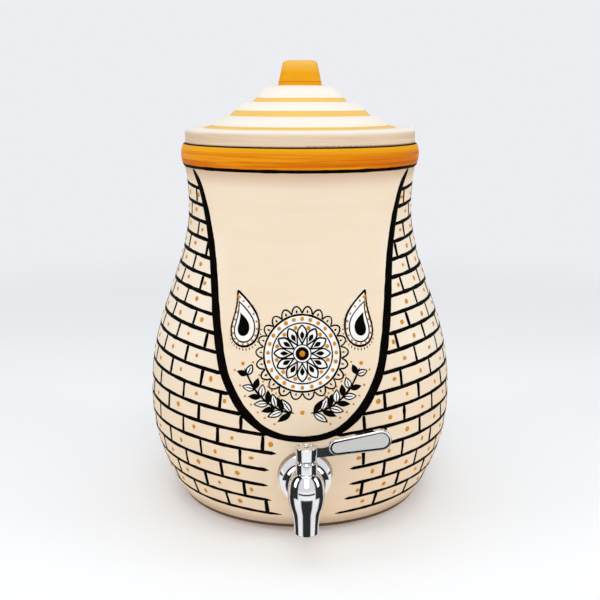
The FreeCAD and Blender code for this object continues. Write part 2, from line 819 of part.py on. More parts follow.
def paddle_outline(border):
    """Two unequal round ends joined by straight tangents, a border inside the paddle's own edge."""
    small, large = f"(paddle_start_radius - {border})", f"(paddle_end_radius - {border})"
    lean = f"acos(({small} - {large}) / ({PADDLE_REACH}))"
    climb = "paddle_climb * 1 deg"

    def on_end(centre, radius, angle):
        return (f"{centre[0]} + {radius} * cos({angle})", f"{centre[1]} + {radius} * sin({angle})")

    return [
        on_end(PADDLE_START, small, f"{climb} + {lean}"), Arc(small, -1),
        on_end(PADDLE_START, small, f"{climb} - {lean}"),
        on_end(PADDLE_END, large, f"{climb} - {lean}"), Arc(large, -1),
        on_end(PADDLE_END, large, climb), Arc(large, -1),
        on_end(PADDLE_END, large, f"{climb} + {lean}"),
    ]


def make_lever():
    lever = new_body("lever")
    hub = new_sketch(lever, "hub_profile", "XZ_Plane")
    outline(
        hub,
        ("0", HUB_FOOT),
        ("hub_foot_radius - hub_edge", HUB_FOOT), Arc("hub_edge", -1),
        ("hub_foot_radius", f"{HUB_FOOT} + hub_edge"),
        ("hub_radius", f"{HUB_TOP} - hub_edge"), Arc("hub_edge", -1),
        ("hub_radius - hub_edge", HUB_TOP),
        ("0", HUB_TOP),
    )
    revolve(lever, hub)

    neck = new_sketch(lever, "lever_neck", "XZ_Plane")
    outline(
        neck,
        ("0", f"{HUB_FOOT} + lever_neck_low"),
        ("paddle_start", f"{PADDLE_START[1]} - paddle_start_radius"),
        ("paddle_start", f"{PADDLE_START[1]} + paddle_start_radius"), Arc("lever_neck_sweep", 1),
        ("lever_neck_straight", f"{HUB_FOOT} + lever_neck_high"),
        ("0", f"{HUB_FOOT} + lever_neck_high"),
    )
    pad(lever, neck, "lever_neck_thickness", middle=True)

    paddle = new_sketch(lever, "paddle", "XZ_Plane")
    outline(paddle, *paddle_outline("0"))
    pad(lever, paddle, "paddle_thickness", middle=True)
    fillet(lever, "paddle_edge", on_paddle_face)

    recess = new_sketch(lever, "plate_recess_outline", "XZ_Plane", lift="paddle_thickness / 2")
    outline(recess, *paddle_outline("plate_border"))
    pocket(lever, recess, "plate_recess")

    screw_bore = new_sketch(lever, "screw_bore", "XZ_Plane")
    outline(
        screw_bore,
        ("0", HUB_FOOT),
        ("screw_radius + thread_fit", HUB_FOOT),
        ("screw_radius + thread_fit", SCREW_SEAT),
        ("screw_head_radius + thread_fit", SCREW_SEAT),
        ("screw_head_radius + thread_fit", f"{HUB_TOP} + cut_margin"),
        ("0", f"{HUB_TOP} + cut_margin"),
    )
    revolve(lever, screw_bore, cut=True)

    socket = new_sketch(lever, "square_socket", "XY_Plane", lift=HUB_FOOT)
    outline(socket, *square_corners("stem_square + 2 * running_fit"))
    pocket(lever, socket, "stem_square_length + face_gap", backwards=True)
    place_in_tap(lever)


def on_paddle_face(edge):
    """Whether an edge is the rim of one of the paddle's two flat faces."""
    box = edge.BoundBox
    half = value_of("paddle_thickness / 2")
    return box.YLength < 0.001 and abs(abs(box.YMin) - half) < 0.001 and box.XMin > value_of("hub_radius")


def make_lever_plate():
    plate = new_body("lever_plate")
    face = new_sketch(plate, "plate_face", "XZ_Plane", lift="paddle_thickness / 2 - plate_recess")
    outline(face, *paddle_outline("(plate_border + plate_fit)"))
    pad(plate, face, "plate_thickness")
    place_in_tap(plate)


def make_handle_screw():
    screw = new_body("handle_screw")
    section = new_sketch(screw, "screw_profile", "XZ_Plane")
    outline(
        section,
        ("0", f"{SCREW_SEAT} - screw_length"),
        ("screw_radius", f"{SCREW_SEAT} - screw_length"),
        ("screw_radius", SCREW_SEAT),
        ("screw_head_radius", SCREW_SEAT),
        ("screw_head_radius", f"{SCREW_SEAT} + screw_head_thickness"),
        ("0", f"{SCREW_SEAT} + screw_head_thickness"),
    )
    revolve(screw, section)

    socket = new_sketch(screw, "hex_socket_outline", "XY_Plane", lift=f"{SCREW_SEAT} + screw_head_thickness")
    outline(socket, *hexagon_corners("hex_socket"))
    pocket(screw, socket, "hex_socket_depth")
    place_in_tap(screw)


# ---------------------------------------------------------------------------------------------
# Build, check and write every piece
# ---------------------------------------------------------------------------------------------
make_pot()
make_lid()
make_tap_body()
make_washer("outer_washer", "outer_washer_radius", FLANGE_BACK, "tap_reach")
make_washer("inner_washer", "inner_washer_radius", CLAY_INSIDE, BACKING_FACE)
make_washer("backing_washer", "backing_washer_radius", BACKING_FACE, NUT_FACE)
make_lock_nut()
make_valve_plug()
make_plug_ring("plug_o_ring_lower", "lower_groove")
make_plug_ring("plug_o_ring_upper", "upper_groove")
make_port_seal()
make_bonnet()
make_lever()
make_lever_plate()
make_handle_screw()
document.recompute()

for item in document.Objects:
    if "Invalid" in item.State or "Error" in item.State:
        raise ValueError(f"{item.Label} did not build: {item.State}")
    if item.isDerivedFrom("Sketcher::SketchObject") and not item.FullyConstrained:
        raise ValueError(f"{item.Label} is not fully held by its sizes")

pieces = [item for item in document.Objects if item.isDerivedFrom("PartDesign::Body")]
for piece in pieces:
    if piece.Shape.isNull() or not piece.Shape.isValid() or len(piece.Shape.Solids) != 1:
        raise ValueError(f"{piece.Label} is not one sound solid")

os.makedirs("parts", exist_ok=True)
for piece in pieces:
    piece.Shape.exportStep(f"parts/{piece.Label}.step")
    print(f"{piece.Label}: {piece.Shape.Volume / 1000:.3f} cm3")
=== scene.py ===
import math
import random

import bpy
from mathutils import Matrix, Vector


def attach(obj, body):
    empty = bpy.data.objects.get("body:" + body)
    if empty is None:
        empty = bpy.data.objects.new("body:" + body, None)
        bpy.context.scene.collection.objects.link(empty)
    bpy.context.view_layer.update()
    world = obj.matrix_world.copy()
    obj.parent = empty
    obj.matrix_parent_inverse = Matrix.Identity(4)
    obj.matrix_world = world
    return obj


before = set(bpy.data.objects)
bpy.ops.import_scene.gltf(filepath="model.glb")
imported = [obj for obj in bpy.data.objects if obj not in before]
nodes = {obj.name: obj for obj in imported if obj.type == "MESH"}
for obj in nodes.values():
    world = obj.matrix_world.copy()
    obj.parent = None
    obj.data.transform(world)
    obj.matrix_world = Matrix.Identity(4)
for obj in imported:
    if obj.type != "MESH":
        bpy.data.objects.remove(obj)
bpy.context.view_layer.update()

# ---------------------------------------------------------------------------------------------
# Studio: a pale sweep of floor that fades into a pale backdrop, a large soft lamp overhead, one in
# front and one at each side, and the camera a little above the rim, looking down on the pot's front.
# ---------------------------------------------------------------------------------------------
MM = 0.001
PICTURE_SIDE = 600
FOCAL_PIXELS = 909
SENSOR = 36.0
CAMERA_DISTANCE = 740 * MM
CAMERA_HEIGHT = 325.2 * MM
CAMERA_PITCH = math.radians(12.53)
CAMERA_TURN = math.radians(-1.8)
LAMP_AIM = (0, 0, 160 * MM)
ROOM_COLOUR = (0.97, 0.98, 1.0, 1)
ROOM_STRENGTH = 0.45
BACKDROP = (0.845, 0.85, 0.88, 1)
FLOOR_COLOUR = (0.93, 0.95, 0.97, 1)
FLOOR_ROUGHNESS = 0.6
FLOOR_GLOW = 0.10
FLOOR_RADIUS = 4.0
FLOOR_SIDES = 64
FLOOR_FADE = (0.45, 1.3)
LEVEL = (1, 1, 0)
AHEAD = (0, -1, 0)

# What polished metal sees besides: dark walls to either side, between cosines of the turn from straight
# ahead, and dark patches of floor before the tap, between distances in metres from the spot under it.
DARK_WALLS = (-0.55, -0.40, 0.52, 0.64)
NEAR_WALLS = (-0.62, -0.50, 0.05, 0.20)
DARKNESS = 0.97
UNDER_TAP = (0, -0.15, 0)
NEAR_FLOOR = (0.15, 0.13)
NEAR_SHADE = (0.74, 0.86)
FAR_SHADE = (0.55, 0.72)
FAR_SHADE_FROM = (0.23, 0.26)
FAR_SHADE_TO = (0.36, 0.33)


def node(tree, kind, settings=None, **inputs):
    """Adds a node, with its settings, and its fixed values and links by socket name or place."""
    made = tree.nodes.new(kind)
    for name, value in (settings or {}).items():
        setattr(made, name, value)
    for name, value in inputs.items():
        place = int(name[1:]) if name[0] == "_" else name.replace("_", " ")
        socket = made.inputs[place]
        if isinstance(value, bpy.types.NodeSocket):
            tree.links.new(value, socket)
        else:
            socket.default_value = value
    return made


def maths(tree, operation, a, b=0.0, clamp=False):
    """A Math node's result."""
    settings = {"operation": operation, "use_clamp": clamp}
    return node(tree, "ShaderNodeMath", settings, _0=a, _1=b).outputs[0]


def vectors(tree, operation, a, b=(0, 0, 0)):
    """A Vector Math node's result: a number for a length or a dot product, or else a vector."""
    made = node(tree, "ShaderNodeVectorMath", {"operation": operation}, _0=a, _1=b)
    return made.outputs["Value" if operation in ("LENGTH", "DOT_PRODUCT") else "Vector"]


def spread(tree, value, low, high, to_low=0.0, to_high=1.0):
    """A value's stretch from low to high, smoothly laid onto another range."""
    return node(tree, "ShaderNodeMapRange", {"interpolation_type": "SMOOTHSTEP"}, Value=value,
                From_Min=low, From_Max=high, To_Min=to_low, To_Max=to_high).outputs[0]


def mixed(tree, amount, first, second):
    """Two values mixed by a mask."""
    return node(tree, "ShaderNodeMix", _0=amount, _2=first, _3=second).outputs[0]


def ahead(tree, way):
    """The cosine of a direction's turn from straight ahead, seen from above."""
    flat = vectors(tree, "NORMALIZE", vectors(tree, "MULTIPLY", way, LEVEL))
    return vectors(tree, "DOT_PRODUCT", flat, AHEAD)


def dark_walls(tree, turn, back, back_edge, front_edge, front):
    """The dark walls to either side, fading in and out between four turns from back to front."""
    return maths(tree, "MULTIPLY", spread(tree, turn, back, back_edge), spread(tree, turn, front, front_edge))


def new_material(name):
    """An empty material, and the tree to fill."""
    material = bpy.data.materials.new(name)
    material.use_nodes = True
    material.node_tree.nodes.clear()
    return material, material.node_tree


def object_coordinates(tree):
    """A place on the object, in metres."""
    return node(tree, "ShaderNodeTexCoord").outputs["Object"]


def add_object(name, data):
    """An object put into the scene."""
    made = bpy.data.objects.new(name, data)
    bpy.context.scene.collection.objects.link(made)
    return made


def light_box(name, place, width, height, power):
    """A soft rectangular lamp that faces the middle of the pot."""
    lamp = bpy.data.lights.new(name, "AREA")
    lamp.shape = "RECTANGLE"
    lamp.size = width
    lamp.size_y = height
    lamp.energy = power
    holder = add_object(name, lamp)
    holder.location = place
    holder.rotation_euler = (Vector(LAMP_AIM) - Vector(place)).to_track_quat("-Z", "Y").to_euler()


camera_data = bpy.data.cameras.new("camera")
camera_data.sensor_width = SENSOR
camera_data.lens = FOCAL_PIXELS / PICTURE_SIDE * SENSOR
camera = add_object("camera", camera_data)
camera.location = (
    math.sin(CAMERA_TURN) * CAMERA_DISTANCE,
    -math.cos(CAMERA_TURN) * CAMERA_DISTANCE,
    CAMERA_HEIGHT,
)
camera.rotation_euler = (math.pi / 2 - CAMERA_PITCH, 0, CAMERA_TURN)
bpy.context.scene.camera = camera
bpy.context.scene.view_settings.view_transform = "Standard"

light_box("top_box", (0, 0.05, 1.5), width=1.5, height=1.3, power=6.4)
light_box("front_box", (0, -1.15, 0.8), width=0.62, height=1.15, power=5.1)
light_box("left_box", (-1.2, -0.35, 0.55), width=0.4, height=1.0, power=3.7)
light_box("right_box", (1.2, -0.35, 0.55), width=0.4, height=1.0, power=3.7)

world = bpy.data.worlds.new("studio_air")
bpy.context.scene.world = world
world.use_nodes = True
air = world.node_tree
air.nodes.clear()
rays = node(air, "ShaderNodeLightPath").outputs
turn = ahead(air, node(air, "ShaderNodeTexCoord").outputs["Generated"])
dark = maths(air, "MULTIPLY", dark_walls(air, turn, *DARK_WALLS), DARKNESS)
dark = maths(air, "MULTIPLY", dark, rays["Is Glossy Ray"])
room = node(air, "ShaderNodeBackground", Color=ROOM_COLOUR, Strength=ROOM_STRENGTH)
seen = node(air, "ShaderNodeBackground", Color=BACKDROP, Strength=maths(air, "SUBTRACT", 1.0, dark))
shows = maths(air, "ADD", rays["Is Camera Ray"], rays["Is Transmission Ray"], clamp=True)
shows = maths(air, "ADD", shows, rays["Is Glossy Ray"], clamp=True)
air_mix = node(air, "ShaderNodeMixShader", _0=shows, _1=room.outputs[0], _2=seen.outputs[0])
node(air, "ShaderNodeOutputWorld", Surface=air_mix.outputs[0])

floor_finish, tree = new_material("studio_floor")
place = object_coordinates(tree)
fade = spread(tree, vectors(tree, "LENGTH", place), *FLOOR_FADE)
board = node(tree, "ShaderNodeBsdfPrincipled", Base_Color=FLOOR_COLOUR, Roughness=FLOOR_ROUGHNESS,
             Emission_Color=FLOOR_COLOUR, Emission_Strength=FLOOR_GLOW)
glow = node(tree, "ShaderNodeEmission", Color=BACKDROP, Strength=1.0)
sweep = node(tree, "ShaderNodeMixShader", _0=fade, _1=board.outputs[0], _2=glow.outputs[0])
from_tap = vectors(tree, "SUBTRACT", place, UNDER_TAP)
away = vectors(tree, "LENGTH", from_tap)
turn = ahead(tree, from_tap)
near = spread(tree, away, *NEAR_FLOOR)
near_shade = maths(tree, "MULTIPLY", near, spread(tree, turn, *NEAR_SHADE))
far = maths(tree, "MULTIPLY", spread(tree, away, *FAR_SHADE_FROM), spread(tree, away, *FAR_SHADE_TO))
far_shade = maths(tree, "MULTIPLY", far, spread(tree, turn, *FAR_SHADE))
walls = mixed(tree, near, dark_walls(tree, turn, *DARK_WALLS), dark_walls(tree, turn, *NEAR_WALLS))
dark = maths(tree, "MAXIMUM", maths(tree, "MAXIMUM", near_shade, far_shade), walls)
dark = maths(tree, "MULTIPLY", dark, DARKNESS)
dark = maths(tree, "MULTIPLY", dark, node(tree, "ShaderNodeLightPath").outputs["Is Glossy Ray"])
unlit = node(tree, "ShaderNodeEmission", Strength=0.0)
seen = node(tree, "ShaderNodeMixShader", _0=dark, _1=sweep.outputs[0], _2=unlit.outputs[0])
node(tree, "ShaderNodeOutputMaterial", Surface=seen.outputs[0])

floor_mesh = bpy.data.meshes.new("studio_floor")
turns = [math.tau * k / FLOOR_SIDES for k in range(FLOOR_SIDES)]
rim = [(FLOOR_RADIUS * math.cos(turn), FLOOR_RADIUS * math.sin(turn), 0) for turn in turns]
floor_mesh.from_pydata(rim, [], [list(range(FLOOR_SIDES))])
floor_mesh.materials.append(floor_finish)
studio_floor = add_object("studio_floor", floor_mesh)


# ---------------------------------------------------------------------------------------------
# Pot: fired clay, thrown on a wheel, sponged smooth and brushed outside with a cream slip. The slip is
# painted paler at the sides as light, and darker towards the foot and under the band as shade, with a
# painted shadow line along the foot's edge. The rolled band at the rim carries a brushed coat of golden
# yellow with a painted highlight up its crest, and the inside is left as bare buff clay.
# ---------------------------------------------------------------------------------------------
CREAM = (0.865, 0.735, 0.565, 1)
WARM_CREAM_AND_SHADE = (0.83, 0.620, 0.425, 1)
SIDE_LIGHT_CREAM = (0.905, 0.81, 0.68, 1)
BARE_CLAY = (0.58, 0.39, 0.25, 1)
BARE_CLOUD = (0.66, 0.47, 0.32, 1)
BARE_GRIT = (0.36, 0.20, 0.12, 1)
BARE_ROUGHNESS = 0.85
CLAY_RELIEF = 0.12 * MM
CLAY_GLOSS = 0.05
SLIP_ROUGHNESS = (0.46, 0.58)
WARM_SHADE_BELOW = 130 * MM
WARM_SHADE_SHARE = 0.5
UNEVEN_SHARE = 0.22
GRIT_SHARE = 0.10
SIDE_LIGHT_RISE = (105 * MM, 150 * MM)
SIDE_LIGHT_FALL = (200 * MM, 250 * MM)
SIDE_LIGHT_TURN = (0.86, 0.70)
SIDE_LIGHT_SHARE = 0.7
RIM_SHADE_LOW = 258 * MM
RIM_SHADE_SHARE = 0.85
GOLD = (0.66, 0.165, 0.001, 1)
BRIGHT_GOLD = (0.92, 0.46, 0.012, 1)
DARK_GOLD = (0.50, 0.11, 0.001, 1)
GOLD_ROUGHNESS = (0.58, 0.44)
BAND_LOW = 275.0 * MM
BAND_CREST = 282.5 * MM
CREST_HIGHLIGHT_SHARE = 0.75
RIM_LINE_LOW = 290.1 * MM
RIM_EDGE_RADIUS = 90.2 * MM
BLACK_LINE = (0.012, 0.008, 0.006, 1)
HAND_WOBBLE = 0.5 * MM
FOOT_SHADOW_TOP = 8.8 * MM
FOOT_SHADOW_LINE = (0.05, 0.024, 0.012, 1)
FOOT_SHADOW_SHARE = 0.9
FOOT_SHADE_TO = 20 * MM
FOOT_SHADE = (0.42, 0.27, 0.17, 1)
FOOT_SHADE_SHARE = 0.6
FACES_IN = -0.0005
FACES_UP = 0.3
FACES_DOWN = -0.9
INNER_FLOOR_BELOW = 36 * MM
FLOAT = "NodeSocketFloat"
VECTOR = "NodeSocketVector"


def new_group(name, inputs, outputs):
    """An empty shader group, its input sockets by name, and its output node."""
    group = bpy.data.node_groups.new(name, "ShaderNodeTree")
    for label, value in inputs.items():
        kind = VECTOR if value is None else FLOAT
        socket = group.interface.new_socket(label, in_out="INPUT", socket_type=kind)
        if value is not None:
            socket.default_value = value
    for label in outputs:
        group.interface.new_socket(label, in_out="OUTPUT", socket_type=FLOAT)
    entry = group.nodes.new("NodeGroupInput")
    return group, {s.name: s for s in entry.outputs}, group.nodes.new("NodeGroupOutput")


def noise(tree, vector, scale, detail=4.0, roughness=0.55):
    """A noise texture's value, about 0.5."""
    return node(tree, "ShaderNodeTexNoise", Vector=vector, Scale=scale, Detail=detail,
                Roughness=roughness).outputs[0]


def mixed_colour(tree, amount, first, second):
    """Two colours mixed by a mask."""
    return node(tree, "ShaderNodeMix", {"data_type": "RGBA"}, _0=amount, _6=first, _7=second).outputs[2]


# Streaks that a wide brush leaves as the pot turns: long round the pot, fine up and down.
brush_streaks, given, result = new_group(
    "brush_streaks", {"Vector": None, "Fineness": 500.0, "Stretch": 14.0}, ["Mask", "Height"]
)
stretch = node(brush_streaks, "ShaderNodeCombineXYZ", X=given["Stretch"], Y=given["Stretch"],
               Z=given["Fineness"]).outputs[0]
stretched = vectors(brush_streaks, "MULTIPLY", given["Vector"], stretch)
fine = noise(brush_streaks, stretched, 1.0, 5.0, 0.62)
wide = noise(brush_streaks, stretched, 0.23, 3.0, 0.5)
both = maths(brush_streaks, "ADD", maths(brush_streaks, "MULTIPLY", fine, 0.55),
             maths(brush_streaks, "MULTIPLY", wide, 0.45))
brush_streaks.links.new(spread(brush_streaks, both, 0.36, 0.64), result.inputs["Mask"])
brush_streaks.links.new(fine, result.inputs["Height"])

# Clay under the slip: soft clouds of tone, sieved grit and a few pin holes.
clay_grain, given, result = new_group(
    "clay_grain", {"Vector": None, "Cloud Scale": 9.0, "Grit Scale": 900.0}, ["Cloud", "Grit", "Height"]
)
cloud = noise(clay_grain, given["Vector"], given["Cloud Scale"], 5.0, 0.6)
grit = noise(clay_grain, given["Vector"], given["Grit Scale"], 3.0, 0.7)
pores = node(clay_grain, "ShaderNodeTexVoronoi", Vector=given["Vector"], Scale=130.0).outputs["Distance"]
clay_grain.links.new(spread(clay_grain, cloud, 0.35, 0.68), result.inputs["Cloud"])
clay_grain.links.new(spread(clay_grain, grit, 0.60, 0.78), result.inputs["Grit"])
holed = maths(clay_grain, "MULTIPLY", grit, spread(clay_grain, pores, 0.03, 0.09))
clay_grain.links.new(holed, result.inputs["Height"])


def use_group(tree, group, **inputs):
    """A group placed in a material with its own values; its outputs."""
    return node(tree, "ShaderNodeGroup", {"node_tree": group}, **inputs).outputs


def upright(tree, vector):
    """A vector's part straight up."""
    return node(tree, "ShaderNodeSeparateXYZ", Vector=vector).outputs["Z"]


def object_place(tree):
    """A place on the object, its distance from the pot's axis, its height, and the object's own normal."""
    place = node(tree, "ShaderNodeTexCoord").outputs
    radius = vectors(tree, "LENGTH", vectors(tree, "MULTIPLY", place["Object"], LEVEL))
    return place["Object"], radius, upright(tree, place["Object"]), place["Normal"]


def slip(tree, vector, height):
    """Cream slip, clouded and streaked, and painted darker and warmer towards the foot as shade: its colour,
    roughness and relief.
    """
    grain = use_group(tree, clay_grain, Vector=vector)
    streaks = use_group(tree, brush_streaks, Vector=vector, Fineness=420.0, Stretch=16.0)
    # Painted shade: the slip darkens and warms towards the foot, and the clouds and streaks add uneven tone.
    warm_shade_and_tone = spread(tree, height, 0.0, WARM_SHADE_BELOW, WARM_SHADE_SHARE, 0.0)
    warm_shade_and_tone = maths(tree, "ADD", warm_shade_and_tone, maths(tree, "MULTIPLY", grain["Cloud"], UNEVEN_SHARE))
    warm_shade_and_tone = maths(tree, "ADD", warm_shade_and_tone, maths(tree, "MULTIPLY", streaks["Mask"], UNEVEN_SHARE), clamp=True)
    colour = mixed_colour(tree, warm_shade_and_tone, CREAM, WARM_CREAM_AND_SHADE)
    colour = mixed_colour(tree, maths(tree, "MULTIPLY", grain["Grit"], GRIT_SHARE), colour, BARE_CLAY)
    relief = maths(tree, "ADD", streaks["Height"], maths(tree, "MULTIPLY", grain["Height"], 0.35))
    return colour, spread(tree, streaks["Mask"], 0.0, 1.0, *SLIP_ROUGHNESS), relief


def golden(tree, vector, fineness=560.0, stretch=10.0):
    """Golden yellow brushed on, streaked light and dark: its colour, roughness and relief."""
    streaks = use_group(tree, brush_streaks, Vector=vector, Fineness=fineness, Stretch=stretch)
    colour = mixed_colour(tree, spread(tree, streaks["Mask"], 0.0, 0.6), DARK_GOLD, GOLD)
    colour = mixed_colour(tree, spread(tree, streaks["Mask"], 0.7, 1.0, 0.0, 0.5), colour, BRIGHT_GOLD)
    return colour, spread(tree, streaks["Mask"], 0.0, 1.0, *GOLD_ROUGHNESS), streaks["Height"]


def bare_clay(tree, vector):
    """The colour of fired clay with no slip on it."""
    grain = use_group(tree, clay_grain, Vector=vector, Cloud_Scale=14.0)
    clouded = mixed_colour(tree, grain["Cloud"], BARE_CLAY, BARE_CLOUD)
    return mixed_colour(tree, grain["Grit"], clouded, BARE_GRIT)


def end_material(tree, colour, roughness, relief, depth, gloss=0.5, metal=0.0):
    """Ends a material in one Principled surface, with relief of a given depth."""
    normal = node(tree, "ShaderNodeBump", Height=relief, Distance=depth).outputs[0]
    surface = node(tree, "ShaderNodeBsdfPrincipled", Base_Color=colour, Roughness=roughness, Normal=normal,
                   Specular_IOR_Level=gloss, Metallic=metal)
    node(tree, "ShaderNodeOutputMaterial", Surface=surface.outputs[0])


def dress(material, *names):
    """Gives CAD nodes their finish."""
    for name in names:
        slots = nodes[name].data.materials
        slots.clear()
        slots.append(material)


pot_finish, tree = new_material("slipped_clay_pot")
vector, radius, height, normal = object_place(tree)
hand = maths(tree, "MULTIPLY", maths(tree, "SUBTRACT", noise(tree, vector, 60.0), 0.5), 2 * HAND_WOBBLE)
brushed_height = maths(tree, "ADD", height, hand)
on_band = maths(tree, "MULTIPLY", maths(tree, "GREATER_THAN", brushed_height, BAND_LOW),
                maths(tree, "GREATER_THAN", maths(tree, "ADD", radius, hand), RIM_EDGE_RADIUS))
on_rim_line = maths(tree, "MULTIPLY", on_band, maths(tree, "GREATER_THAN", height, RIM_LINE_LOW))
on_foot_shadow = maths(tree, "LESS_THAN", brushed_height, FOOT_SHADOW_TOP)
outward = vectors(tree, "DOT_PRODUCT", normal, vectors(tree, "MULTIPLY", vector, LEVEL))
upward = upright(tree, normal)
on_inner_floor = maths(tree, "MULTIPLY", maths(tree, "GREATER_THAN", upward, FACES_UP),
                       maths(tree, "LESS_THAN", height, INNER_FLOOR_BELOW))
bare = maths(tree, "MAXIMUM", maths(tree, "LESS_THAN", outward, FACES_IN), on_inner_floor)
bare = maths(tree, "MAXIMUM", bare, maths(tree, "LESS_THAN", upward, FACES_DOWN))
colour, rough, relief = slip(tree, vector, height)
# Painted light: the slip is paler at the sides and back, between two heights.
painted_side_light = maths(tree, "MULTIPLY", spread(tree, height, *SIDE_LIGHT_RISE),
             spread(tree, height, *SIDE_LIGHT_FALL, SIDE_LIGHT_SHARE, 0.0))
painted_side_light = maths(tree, "MULTIPLY", painted_side_light, spread(tree, ahead(tree, vector), *SIDE_LIGHT_TURN))
colour = mixed_colour(tree, painted_side_light, colour, SIDE_LIGHT_CREAM)
# Painted shade under the golden band, mixed towards the colour of bare clay.
rim_shade = spread(tree, height, RIM_SHADE_LOW, BAND_LOW, 0.0, RIM_SHADE_SHARE)
colour = mixed_colour(tree, rim_shade, colour, BARE_CLAY)
# Painted shade towards the foot, partly a browner clay, and a painted shadow line along the foot's edge.
foot_shade = spread(tree, height, FOOT_SHADOW_TOP, FOOT_SHADE_TO, FOOT_SHADE_SHARE, 0.0)
colour = mixed_colour(tree, foot_shade, colour, FOOT_SHADE)
colour = mixed_colour(tree, maths(tree, "MULTIPLY", on_foot_shadow, FOOT_SHADOW_SHARE), colour, FOOT_SHADOW_LINE)
gold, gold_rough, gold_relief = golden(tree, vector)
# Painted highlight: the band turns brighter gold up its crest.
crest_highlight = spread(tree, height, BAND_CREST, RIM_LINE_LOW, 0.0, CREST_HIGHLIGHT_SHARE)
gold = mixed_colour(tree, on_rim_line, mixed_colour(tree, crest_highlight, gold, BRIGHT_GOLD), BLACK_LINE)
end_material(
    tree,
    mixed_colour(tree, bare, mixed_colour(tree, on_band, colour, gold), bare_clay(tree, vector)),
    mixed(tree, bare, mixed(tree, on_band, rough, gold_rough), BARE_ROUGHNESS),
    mixed(tree, on_band, relief, gold_relief),
    CLAY_RELIEF,
    CLAY_GLOSS,
)
dress(pot_finish, "pot_body")


# ---------------------------------------------------------------------------------------------
# Paint: black, white and golden colour laid on the slip by hand, thick enough to stand a little proud.
# All of it is drawn on a flat sheet, right and up in metres as seen from outside, and then wrapped
# round the wall, so that a stroke keeps its width wherever the pot swells or narrows.
# ---------------------------------------------------------------------------------------------
SHEET_RADIUS = 110 * MM
SEED = 11
OUTSIDE = 300 * MM
PAINT_SINK = 0.12 * MM
SUNK_EDGE = 1.1
TOUCHING = 0.001 * MM
PAINT_RELIEF = 0.05 * MM
BLACKS = ((0.002, 0.0015, 0.001, 1), (0.005, 0.0035, 0.0025, 1))
WHITES = ((0.93, 0.915, 0.89, 1), (0.88, 0.84, 0.78, 1))
GOLDS = ((0.66, 0.27, 0.010, 1), (0.48, 0.16, 0.003, 1))
NARROWEST = 0.12
TIP_STOPS = (0.04, 0.15, 0.35, 0.65, 1.0)
PAINT_INPUTS = {"Pot": "NodeSocketObject", "Paint": "NodeSocketMaterial", "Lift": FLOAT}
STROKE_INPUTS = {"Step": FLOAT, "Relief": FLOAT, "Wobble": FLOAT, "Wobble Scale": FLOAT, "Pressure": FLOAT}


def new_tree(name, inputs):
    """An empty Geometry Nodes tree: the tree, its input sockets by name, and its output node."""
    tree = bpy.data.node_groups.new(name, "GeometryNodeTree")
    tree.interface.new_socket("Geometry", in_out="INPUT", socket_type="NodeSocketGeometry")
    tree.interface.new_socket("Geometry", in_out="OUTPUT", socket_type="NodeSocketGeometry")
    for label, kind in inputs.items():
        tree.interface.new_socket(label, in_out="INPUT", socket_type=kind)
    entry = tree.nodes.new("NodeGroupInput")
    return tree, {s.name: s for s in entry.outputs}, tree.nodes.new("NodeGroupOutput")


def combined(tree, x=0.0, y=0.0, z=0.0):
    """A vector made of three numbers."""
    return node(tree, "ShaderNodeCombineXYZ", X=x, Y=y, Z=z).outputs[0]


def scaled(tree, vector, scale):
    """A vector made longer or shorter."""
    return node(tree, "ShaderNodeVectorMath", {"operation": "SCALE"}, _0=vector, Scale=scale).outputs[0]


def moved(tree, geometry, offset):
    """Geometry moved by an offset."""
    return node(tree, "GeometryNodeSetPosition", Geometry=geometry, Offset=offset).outputs[0]


def named(tree, name):
    """A number stored on the points under a name."""
    stored = node(tree, "GeometryNodeInputNamedAttribute", {"data_type": "FLOAT"}, Name=name)
    return stored.outputs["Attribute"]


def keep_centre(tree, geometry):
    """Remembers how far to the right of the sheet's middle each point is, before it is given a width."""
    place = node(tree, "ShaderNodeSeparateXYZ", Vector=node(tree, "GeometryNodeInputPosition").outputs[0])
    return node(tree, "GeometryNodeStoreNamedAttribute", {"data_type": "FLOAT", "domain": "POINT"},
                Geometry=geometry, Name="centre", Value=place.outputs["X"]).outputs[0]


def wall_hit(tree, pot, angle, height):
    """Looks from outside towards the pot's axis, and finds the wall at an angle and a height."""
    away = combined(tree, maths(tree, "SINE", angle),
                    maths(tree, "MULTIPLY", maths(tree, "COSINE", angle), -1.0))
    eye = vectors(tree, "ADD", scaled(tree, away, OUTSIDE), combined(tree, z=height))
    return node(tree, "GeometryNodeRaycast", Target_Geometry=pot, Source_Position=eye,
                Ray_Direction=scaled(tree, away, -1.0), Ray_Length=OUTSIDE).outputs


wrap, given, result = new_tree("wrap_round_the_wall", {"Pot": "NodeSocketGeometry"})
sheet = node(wrap, "ShaderNodeSeparateXYZ", Vector=node(wrap, "GeometryNodeInputPosition").outputs[0]).outputs
centre = named(wrap, "centre")
middle_angle = maths(wrap, "DIVIDE", centre, SHEET_RADIUS)
middle_hit = wall_hit(wrap, given["Pot"], middle_angle, sheet["Y"])
reach = vectors(wrap, "LENGTH", vectors(wrap, "MULTIPLY", middle_hit["Hit Position"], LEVEL))
aside = maths(wrap, "DIVIDE", maths(wrap, "SUBTRACT", sheet["X"], centre), reach)
hit = wall_hit(wrap, given["Pot"], maths(wrap, "ADD", middle_angle, aside), sheet["Y"])
place = vectors(wrap, "ADD", hit["Hit Position"], scaled(wrap, hit["Hit Normal"], sheet["Z"]))
laid = node(wrap, "GeometryNodeSetPosition", Geometry=given["Geometry"], Position=place).outputs[0]
for label in ("centre", "half_width"):
    laid = node(wrap, "GeometryNodeRemoveAttribute", Geometry=laid, Name=label).outputs[0]
wrap.links.new(laid, result.inputs[0])


